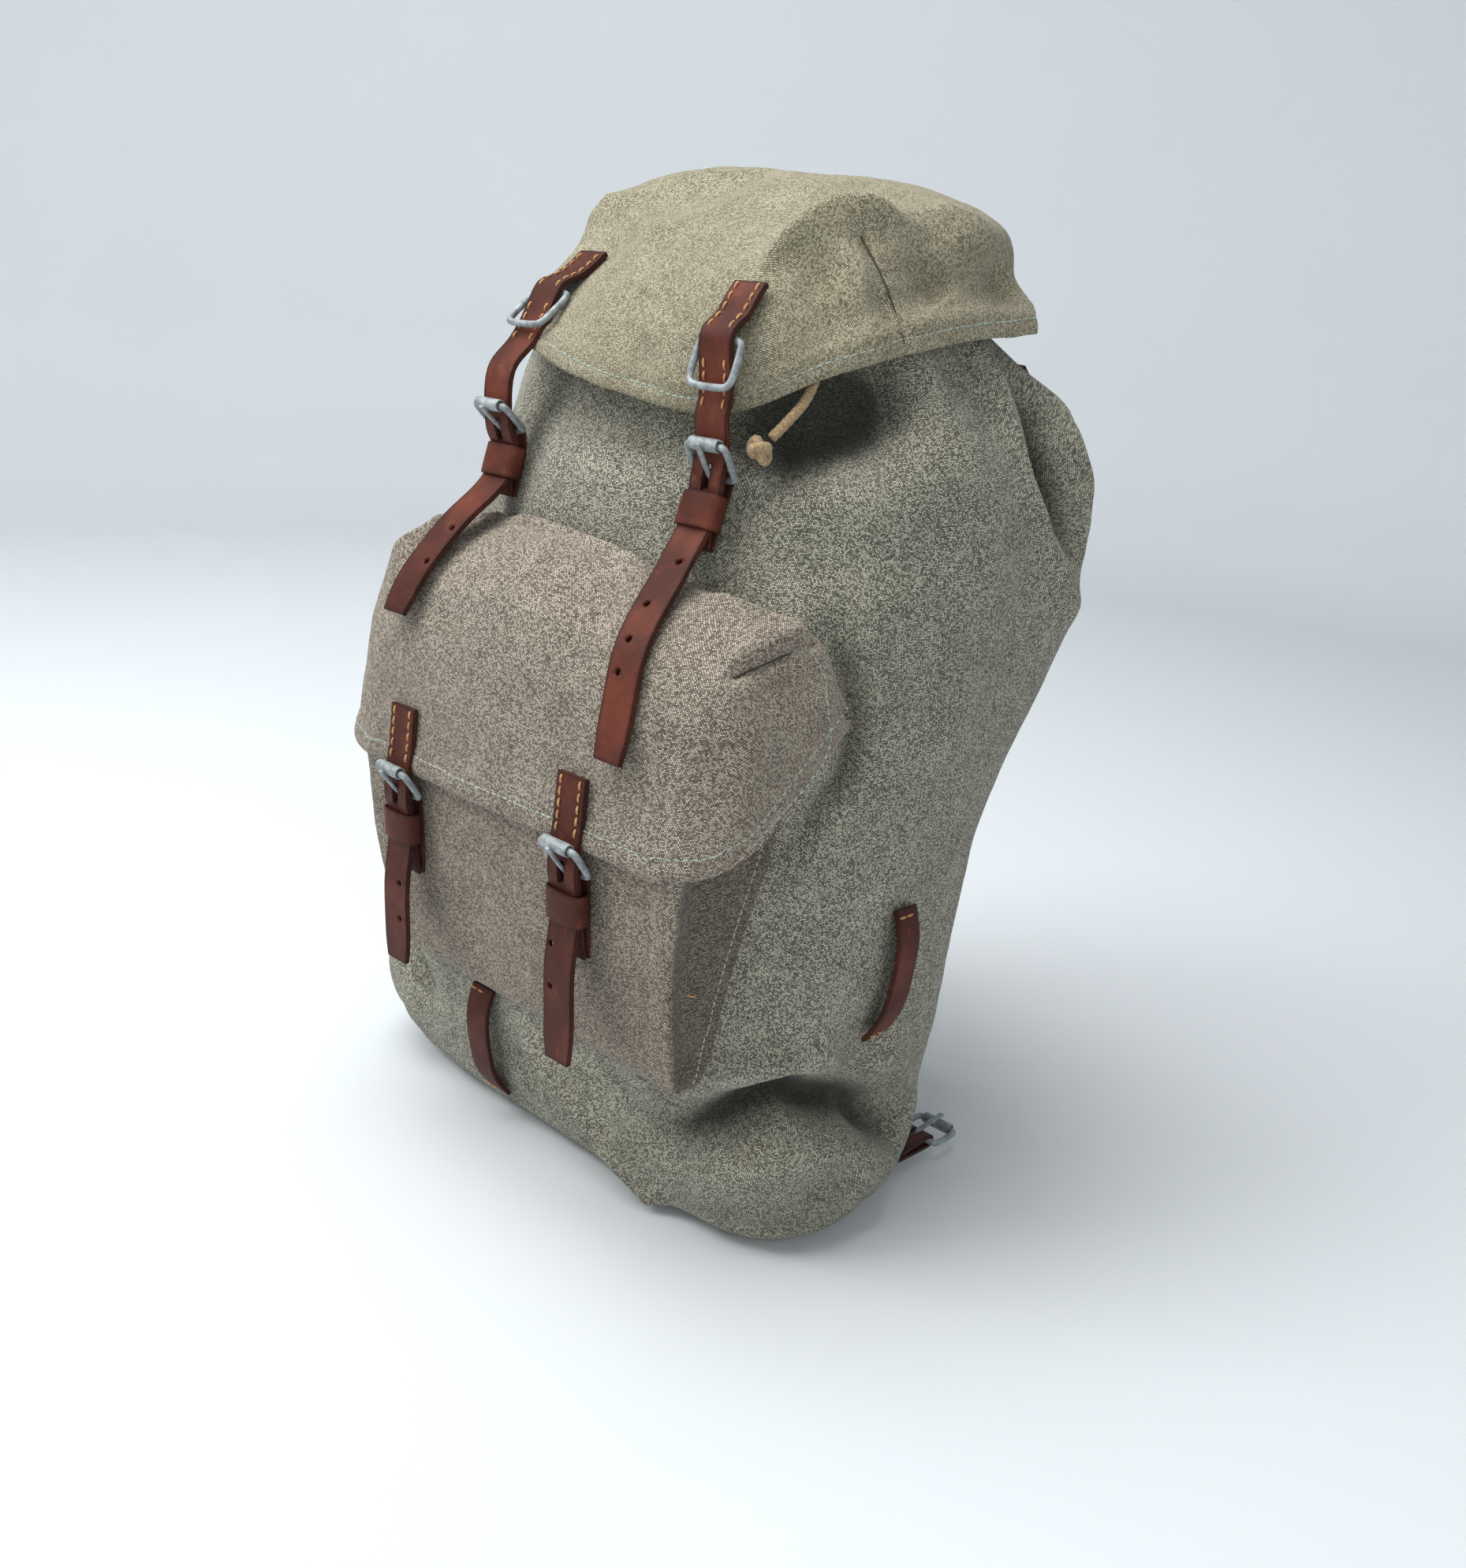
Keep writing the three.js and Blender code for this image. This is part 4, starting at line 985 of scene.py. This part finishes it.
class BackpackMetal(bpy.types.PropertyGroup):
    """Colours of the metal."""
    bright: colour_property("Bright", "Clean zinc", (0.40, 0.435, 0.44))
    dull: colour_property("Dull", "Weathered zinc", (0.21, 0.232, 0.238))
    tarnish: colour_property("Tarnish", "Dark marks", (0.12, 0.12, 0.115))


class BackpackCord(bpy.types.PropertyGroup):
    """Colours of the cord."""
    pale: colour_property("Pale", "Light fibre", (0.50, 0.36, 0.20))
    deep: colour_property("Deep", "Dark fibre", (0.26, 0.165, 0.08))


class BackpackStage(bpy.types.PropertyGroup):
    """Light and floor."""
    key: power_property("Key", "Key light", 27)
    fill: power_property("Fill", "Fill light", 6)
    top: power_property("Top", "Top light", 31)
    wall: power_property("Wall", "Light on the backdrop", 7)
    sky: bpy.props.FloatProperty(name="Sky", description="Strength of the surrounding light", default=0.19)
    floor: colour_property("Floor", "Colour of the floor", (0.74, 0.775, 0.80))


class BackpackOperator:
    """What the build steps share."""
    bl_options = {"REGISTER", "UNDO"}


class BACKPACK_OT_stage(BackpackOperator, bpy.types.Operator):
    """Camera at the photograph's angle, soft light and a pale floor"""
    bl_idname = "backpack.stage"
    bl_label = "Stage"

    def execute(self, context):
        look = context.scene.backpack_stage
        self.camera(context)
        for name, lamp in LIGHTS.items():
            self.light(f"{name}_light", getattr(look, name), **lamp)
        world = context.scene.world or bpy.data.worlds.new("World")
        context.scene.world = world
        world.use_nodes = True
        background = world.node_tree.nodes["Background"]
        background.inputs["Color"].default_value = SKY_COLOUR
        background.inputs["Strength"].default_value = look.sky
        context.scene.view_settings.view_transform = "Standard"
        self.floor(look)
        return {"FINISHED"}

    @staticmethod
    def camera(context):
        data = bpy.data.cameras.new("camera")
        camera = bpy.data.objects.new("camera", data)
        context.scene.collection.objects.link(camera)
        turn = Matrix((LENS_RIGHT, LENS_UP, LENS_BACK)).transposed().to_4x4()
        camera.matrix_world = Matrix.Translation(EYE) @ turn
        tall = max(PHOTO_SIZE)
        data.sensor_width = SENSOR
        data.lens = FOCAL_LENGTH / tall * SENSOR
        data.shift_x = (PHOTO_SIZE[0] / 2 - LENS_CENTRE[0]) / tall
        data.shift_y = (LENS_CENTRE[1] - PHOTO_SIZE[1] / 2) / tall
        data.clip_start = NEAR_CLIP
        context.scene.camera = camera

    @staticmethod
    def light(name, power, size, place, target):
        data = bpy.data.lights.new(name, "AREA")
        data.energy = power
        data.size = size
        lamp = bpy.data.objects.new(name, data)
        bpy.context.scene.collection.objects.link(lamp)
        turn = (place - target).to_track_quat("Z", "Y").to_matrix().to_4x4()
        lamp.matrix_world = Matrix.Translation(place) @ turn

    @staticmethod
    def floor(look):
        bpy.ops.object.select_all(action="DESELECT")
        bpy.ops.mesh.primitive_circle_add(vertices=FLOOR_SIDES, radius=FLOOR_RADIUS, fill_type="TRIFAN")
        floor = bpy.context.object
        floor.name = "floor"
        bpy.ops.object.mode_set(mode="EDIT")
        bpy.ops.mesh.select_mode(type="EDGE")
        bpy.ops.mesh.select_all(action="DESELECT")
        bpy.ops.mesh.select_non_manifold()
        for rise, grow in SWEEP_STEPS:
            bpy.ops.mesh.extrude_region_move(TRANSFORM_OT_translate={"value": (0, 0, rise)})
            bpy.ops.transform.resize(value=(grow, grow, 1))
        bpy.ops.object.mode_set(mode="OBJECT")
        floor.data.shade_smooth()
        finish = Finish("floor_paper", Roughness=0.85)
        tone = finish.cloud(finish.place(), scale=3, detail=2)
        pale = tuple(look.floor)
        finish.paint("Base Color", finish.mix(tone, pale, tuple(part * FLOOR_MOTTLE for part in pale)))
        floor.data.materials.append(finish.material)


class BACKPACK_OT_cord(BackpackOperator, bpy.types.Operator):
    """Draw cord of twisted fibre, hanging out under the lid, with its knot"""
    bl_idname = "backpack.cord"
    bl_label = "Draw Cord"

    def execute(self, context):
        finish = cord_fibre()
        route = respaced(spline([mm(*point) for point in CORD_ROUTE]), CORD_STEPS)
        run = strand_tube("cord_run", route, CORD_RADIUS, STRAND_TURNS)
        cord = new_piece("cord_run", run, finish, "cord", BODY, "draw_cord")
        low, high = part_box("draw_cord_knot")
        heart = (low + high) / 2
        way = Vector(route[-1] - route[-2]).normalized()
        turn = way.to_track_quat("Z", "Y")
        loop = []
        for step in range(KNOT_STEPS + 1):
            t = step / KNOT_STEPS * math.tau
            round_way = Vector((math.sin(t) + 2 * math.sin(2 * t), math.cos(t) - 2 * math.cos(2 * t), 0))
            loop.append(heart + turn @ (round_way - Vector((0, 0, KNOT_HEIGHT * math.sin(3 * t)))) * KNOT_SCALE)
        tied = strand_tube("cord_knot", loop, KNOT_RADIUS, STRAND_TURNS * KNOT_TURNS)
        knot = new_piece("cord_knot", tied, finish, "cord", BODY, "draw_cord_knot")
        return {"FINISHED"}


def sack_grid(skin):
    """Outer wall of the sack, from the mouth down to the floor."""
    low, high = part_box("bag_body")
    rows, columns = SACK_SHAPE
    share = np.linspace(0, 1, rows)
    top, foot = high.z - SACK_LIP, low.z + BASE_LIFT
    heights = top + (foot - top) * np.sin(share * math.pi / 2) ** SACK_CROWDING
    rings = []
    for height in heights:
        heart = Vector((0, SACK_AXIS, height))
        around = []
        for step in range(SACK_CASTS):
            angle = step / SACK_CASTS * math.tau
            around.append(skin.toward(heart, Vector((-math.sin(angle), math.cos(angle), 0))))
        rings.append(respaced(around, columns, closed=True))
    return smoothed(np.array(rings), *SACK_SMOOTHING, wrap=True)


class BACKPACK_OT_sack(BackpackOperator, bpy.types.Operator):
    """Sack of flecked canvas with its folds, gathered at the mouth"""
    bl_idname = "backpack.sack"
    bl_label = "Sack"

    def execute(self, context):
        finish = woven("sack", context.scene.backpack_cloth.dash)
        skin = Skin(frame["nodes"]["bag_body"])
        grid, hollow = creased(sack_grid(skin), SACK_FOLDS, skin, wrap=True, behind=BACK_FOLDS)
        column = np.arange(grid.shape[1]) / grid.shape[1] * math.tau * MOUTH_GATHERS
        depth = smooth_step(grid[..., 2], GATHER_FROM, GATHER_FULL) * (1 + np.cos(column)) * MM
        grid = grid - grid_normals(grid, True) * depth[..., None]
        grid[..., 2] = np.maximum(grid[..., 2], 0)
        foot = grid[-1].mean(axis=0) * (1, 1, 0)
        base = [foot + (grid[-1] * (1, 1, 0) - foot) * share for share in BASE_SHARES]
        grid = np.concatenate([grid, base])
        hollow = np.concatenate([hollow, np.zeros((len(base), grid.shape[1]))])
        shell("sack", grid, hollow, unrolled(grid, True), finish, "sack_cloth", "bag_body", wrap=True, pole=True)
        return {"FINISHED"}


def slanted(turn, rise):
    """Direction at an angle round the upright axis, from the right towards the front, and a rise."""
    return Vector((math.cos(turn) * math.cos(rise), -math.sin(turn) * math.cos(rise), math.sin(rise)))


def lid_grid(skin):
    """Outer wall of the lid, from its crown down to its hem."""
    rows, columns = LID_SHAPE
    lines = []
    for step in range(columns):
        turn = -math.pi / 2 - step / columns * math.tau
        rim = bisected(lambda rise: skin.toward(LID_HEART, slanted(turn, rise)), LID_STEEPEST, RIM_LIMIT)
        rises = np.linspace(math.pi / 2, rim, rows)
        lines.append(respaced([skin.toward(LID_HEART, slanted(turn, rise)) for rise in rises], rows))
    return smoothed(np.array(lines).swapaxes(0, 1), *LID_SMOOTHING, wrap=True)


class BACKPACK_OT_lid(BackpackOperator, bpy.types.Operator):
    """Puffy canvas lid with its dart and its stitched hem"""
    bl_idname = "backpack.lid"
    bl_label = "Lid"

    def execute(self, context):
        look = context.scene.backpack_cloth
        finish = woven("lid", look.dash)
        skin = Skin(frame["nodes"]["lid"])
        grid, hollow = creased(lid_grid(skin), LID_FOLDS, skin, wrap=True)
        tuck = np.exp(-((from_hem(grid) - LID_TUCK["height"]) / LID_TUCK["spread"]) ** 2)
        tuck *= LID_TUCK["depth"] * smooth_step(abs(grid[..., 0]), LID_TUCK["from"], LID_TUCK["to"])
        grid = hemmed(grid - grid_normals(grid, True) * tuck[..., None], LID_HEM, wrap=True)
        grid[0] = grid[1].mean(axis=0)
        dome = shell("lid_dome", grid, hollow, spread_out(grid), finish, "lid_cloth", "lid", wrap=True, pole=True)
        # Painted shade: a dark tube along the lid's dart stands in for the shadow in its crease
        dart("lid_dart", dome, LID_DART, look.lid_dark[:], "lid_cloth")
        line, normals = hem_line(grid, grid_normals(grid, True), LID_HEM["stitch"])
        stitches("lid_hem_thread", line, normals, HEM_THREAD, hem_thread(), "lid_cloth")
        return {"FINISHED"}


def pocket_grid(skin):
    """Outer wall of the pocket: front panel and two gussets, from the top down."""
    low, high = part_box("pocket_body")
    rows, columns = POCKET_SHAPE
    lines = []
    for height in np.linspace(high.z - SACK_LIP, low.z + SACK_LIP, rows):
        heart = Vector((FLAP_HEART.x, FLAP_HEART.y, height))
        front = skin.ahead(FLAP_HEART.x, height)[0]
        ends = []
        for stray in (math.pi, 0):
            seam = bisected(lambda turn: skin.toward(heart, slanted(turn, 0)), math.pi / 2, stray)
            ends.append(skin.toward(heart, slanted(seam, 0)))
        outline = []
        for step in range(POCKET_CASTS + 1):
            angle = (step / POCKET_CASTS - 0.5) * math.pi
            end = ends[0] if angle < 0 else ends[1]
            out = abs(math.sin(angle)) ** (2 / POCKET_BLUNT)
            ahead = math.cos(angle) ** (2 / POCKET_BLUNT)
            sag = GUSSET_SAG * (end.y - front.y) * math.sin(math.pi * ahead)
            across = front.x + (end.x - front.x) * out - math.copysign(sag, angle)
            outline.append(Vector((across, end.y + (front.y - end.y) * ahead, height)))
        lines.append(respaced(outline, columns))
    return smoothed(np.array(lines), *POCKET_SMOOTHING)


class BACKPACK_OT_pocket(BackpackOperator, bpy.types.Operator):
    """Front pocket with its gussets and seams"""
    bl_idname = "backpack.pocket"
    bl_label = "Pocket"

    def execute(self, context):
        finish = woven("pocket", context.scene.backpack_cloth.long_dash)
        skin = Skin(frame["nodes"]["pocket_body"])
        grid, hollow = creased(pocket_grid(skin), POCKET_FOLDS, skin, crumple=POCKET_CRUMPLE)
        # Painted shade: the gussets darken from their front edge towards the seam, standing in for the shadow in
        # their recess
        front, seam = grid[..., 1].min(axis=1), grid[..., 1].max(axis=1)
        aside = (grid[..., 1] - front[:, None]) / (seam - front)[:, None]
        hollow = np.maximum(hollow, GUSSET_SHADE * smooth_step(aside, GUSSET_START, GUSSET_FULL))
        shell("pocket_pouch", grid, hollow, unrolled(grid), finish, "pocket_cloth", "pocket_body")
        turned, normals = grid.swapaxes(0, 1), grid_normals(grid).swapaxes(0, 1)
        for side in SIDES:
            line, out = hem_line(turned, normals, GUSSET_STITCH)
            stitches(f"pocket_{side}_seam_thread", line, out, HEM_THREAD, hem_thread(), "pocket_cloth")
            turned, normals = turned[::-1], normals[::-1]
        return {"FINISHED"}


def flap_grid(skin):
    """Outer wall of the pocket's flap, from its seam on the sack down to its hem."""
    rows, columns = FLAP_SHAPE

    def met(turn, rise):
        return skin.toward(FLAP_HEART, slanted(turn, rise))

    first = bisected(lambda turn: met(turn, FLAP_LEVEL), math.pi / 2, math.pi)
    last = bisected(lambda turn: met(turn, FLAP_LEVEL), math.pi / 2, 0)
    lines = []
    for turn in np.linspace(first, last, columns):
        seam = bisected(lambda rise: met(turn, rise), FLAP_LEVEL, SEAM_LIMIT)
        hem = bisected(lambda rise: met(turn, rise), FLAP_LEVEL, RIM_LIMIT)
        places = [met(turn, rise) for rise in np.linspace(seam, hem, FLAP_CASTS)]
        lines.append(respaced([place for place in places if place], rows))
    return smoothed(np.array(lines).swapaxes(0, 1), *FLAP_SMOOTHING)


class BACKPACK_OT_flap(BackpackOperator, bpy.types.Operator):
    """Flap over the pocket with its dart and its stitched hem"""
    bl_idname = "backpack.flap"
    bl_label = "Flap"

    def execute(self, context):
        look = context.scene.backpack_cloth
        finish = woven("flap", look.long_dash)
        skin = Skin(frame["nodes"]["pocket_flap"])
        grid, hollow = creased(flap_grid(skin), FLAP_FOLDS, skin)
        grid = hemmed(grid, FLAP_HEM)
        cover = shell("flap_cover", grid, hollow, unrolled(grid), finish, "pocket_cloth", "pocket_flap")
        # Painted shade: a dark tube along the flap's dart stands in for the shadow in its crease
        dart("flap_dart", cover, FLAP_DART, look.flap_dark[:], "pocket_cloth")
        line, normals = hem_line(grid, grid_normals(grid), FLAP_HEM["stitch"])
        stitches("flap_hem_thread", line, normals, HEM_THREAD, hem_thread(), "pocket_cloth")
        line, normals = Skin(cover).photo_line(respaced(FLAP_SIDE, SIDE_SEAM_STEPS))
        stitches("flap_side_thread", line, normals, HEM_THREAD, hem_thread(), "pocket_cloth")
        return {"FINISHED"}


def merged_copy(node):
    """A node's mesh with its corners merged and its triangles joined to four-sided faces."""
    mesh = frame["nodes"][node].data.copy()
    work = bmesh.new()
    work.from_mesh(mesh)
    bmesh.ops.remove_doubles(work, verts=work.verts[:], dist=MERGE_DISTANCE)
    bmesh.ops.join_triangles(work, faces=work.faces[:], angle_face_threshold=FLAT_ANGLE,
                             angle_shape_threshold=SHAPE_ANGLE)
    work.to_mesh(mesh)
    work.free()
    return mesh


def cut_edges(mesh):
    """Tree of places along the sharp edges of a mesh."""
    work = bmesh.new()
    work.from_mesh(mesh)
    places = []
    for edge in work.edges:
        if edge.is_manifold and edge.calc_face_angle() > SHARP:
            start, end = (corner.co for corner in edge.verts)
            count = 2 + int((end - start).length / EDGE_STEP)
            places.extend(start.lerp(end, step / count) for step in range(count + 1))
    work.free()
    return place_tree(places)


class BACKPACK_OT_leather(BackpackOperator, bpy.types.Operator):
    """Straps, chapes, keepers and loops of thick leather, with their punched holes"""
    bl_idname = "backpack.leather"
    bl_label = "Leather"

    def execute(self, context):
        finish = strap_leather()
        for node in frame["nodes"]:
            if any(word in node for word in LEATHER_WORDS):
                self.strip(node, finish)
        return {"FINISHED"}

    @staticmethod
    def strip(node, finish):
        mesh = merged_copy(node)
        edges = cut_edges(mesh)
        piece = new_piece(f"{node}_hide", mesh, finish, "leather", body_of(frame["nodes"][node])[0], node)
        applied(piece, "BEVEL", width=LEATHER_ROUND, segments=ROUND_STEPS, limit_method="ANGLE", angle_limit=SHARP)
        applied(piece, "SUBSURF", levels=SMOOTH_LEVELS, render_levels=SMOOTH_LEVELS)
        for pixel in HOLES.get(node, ()):
            BACKPACK_OT_leather.punch(piece, pixel)
        wear = piece.data.attributes.new("edge", "FLOAT", "POINT")
        values = [math.exp(-edges.find(vertex.co)[2] / EDGE_WEAR) for vertex in piece.data.vertices]
        wear.data.foreach_set("value", values)
        piece.data.shade_smooth()

    @staticmethod
    def punch(piece, pixel):
        place, normal = Skin(piece).in_photo(pixel)
        bpy.ops.object.select_all(action="DESELECT")
        turn = normal.to_track_quat("Z", "Y").to_euler()
        bpy.ops.mesh.primitive_cylinder_add(vertices=HOLE_SIDES, radius=HOLE_RADIUS, depth=HOLE_DEPTH,
                                            location=place, rotation=turn)
        cutter = bpy.context.object
        applied(piece, "BOOLEAN", operation="DIFFERENCE", solver="EXACT", object=cutter)
        bpy.data.objects.remove(cutter)


class BACKPACK_OT_metal(BackpackOperator, bpy.types.Operator):
    """Rings, buckle frames, rollers and tongues of dull galvanized wire"""
    bl_idname = "backpack.metal"
    bl_label = "Metal"

    def execute(self, context):
        finish = galvanized_wire()
        for node in frame["nodes"]:
            if any(word in node for word in METAL_WORDS):
                self.wire(node, finish)
        return {"FINISHED"}

    @staticmethod
    def wire(node, finish):
        mesh = merged_copy(node)
        piece = new_piece(f"{node}_zinc", mesh, finish, "metal", body_of(frame["nodes"][node])[0], node)
        if any(word in node for word in FLAT_WORDS):
            applied(piece, "BEVEL", width=METAL_ROUND, segments=ROUND_STEPS, limit_method="ANGLE", angle_limit=SHARP)
        else:
            applied(piece, "DISPLACE", strength=WIRE_SWELL, mid_level=0)
        applied(piece, "SUBSURF", levels=SMOOTH_LEVELS, render_levels=SMOOTH_LEVELS)
        piece.data.shade_smooth()


class BACKPACK_OT_stitching(BackpackOperator, bpy.types.Operator):
    """Rows of waxed thread on the leather"""
    bl_idname = "backpack.stitching"
    bl_label = "Stitching"

    def execute(self, context):
        look = context.scene.backpack_leather
        finish = thread_finish("strap_thread", look.thread_pale[:], look.thread_deep[:])
        for node, rows in FRONT_ROWS.items():
            self.rows(node, rows, Skin.ahead, finish)
        for node, rows in BACK_ROWS.items():
            self.rows(node, rows, Skin.behind, finish)
        for side, sign in SIDES.items():
            self.rows(f"side_lash_loop_{side}", SIDE_ROWS, lambda skin, y, z: skin.beside(sign, y, z), finish)
        line, normals = Skin(bpy.data.objects["pocket_pouch"]).photo_line(POCKET_TACK)
        stitches("pocket_tack_thread", line, normals, STRAP_THREAD, finish, "pocket_cloth")
        return {"FINISHED"}

    @staticmethod
    def rows(node, rows, cast, finish):
        skin = Skin(bpy.data.objects[f"{node}_hide"])
        for number, row in enumerate(rows):
            met = [cast(skin, *place) for place in np.linspace(*row, ROW_STEPS) * MM]
            line, normals = zip(*(place for place in met if place[0] is not None))
            stitches(f"{node}_thread_{number}", line, normals, STRAP_THREAD, finish, "leather")


class BACKPACK_PT_sidebar(bpy.types.Panel):
    """The build steps, in order"""
    bl_idname = "BACKPACK_PT_sidebar"
    bl_label = "Military Backpack"
    bl_space_type = "VIEW_3D"
    bl_region_type = "UI"
    bl_category = "Backpack"

    def draw(self, context):
        for step in STEPS:
            self.layout.operator(step.bl_idname)
        for group, kind in SETTINGS.items():
            box = self.layout.box()
            for key in kind.__annotations__:
                box.prop(getattr(context.scene, group), key)


STEPS = (BACKPACK_OT_stage, BACKPACK_OT_cord, BACKPACK_OT_sack, BACKPACK_OT_lid, BACKPACK_OT_pocket,
         BACKPACK_OT_flap, BACKPACK_OT_leather, BACKPACK_OT_metal, BACKPACK_OT_stitching)
SETTINGS = {
    "backpack_cloth": BackpackCloth,
    "backpack_leather": BackpackLeather,
    "backpack_metal": BackpackMetal,
    "backpack_cord": BackpackCord,
    "backpack_stage": BackpackStage,
}


def register():
    for group, kind in SETTINGS.items():
        bpy.utils.register_class(kind)
        setattr(bpy.types.Scene, group, bpy.props.PointerProperty(type=kind))
    for step in STEPS:
        bpy.utils.register_class(step)
    bpy.utils.register_class(BACKPACK_PT_sidebar)


def unregister():
    bpy.utils.unregister_class(BACKPACK_PT_sidebar)
    for step in reversed(STEPS):
        bpy.utils.unregister_class(step)
    for group, kind in reversed(SETTINGS.items()):
        delattr(bpy.types.Scene, group)
        bpy.utils.unregister_class(kind)


def main():
    register()
    for step in STEPS:
        family, name = step.bl_idname.split(".")
        getattr(getattr(bpy.ops, family), name)()


if __name__ == "__main__":
    main()
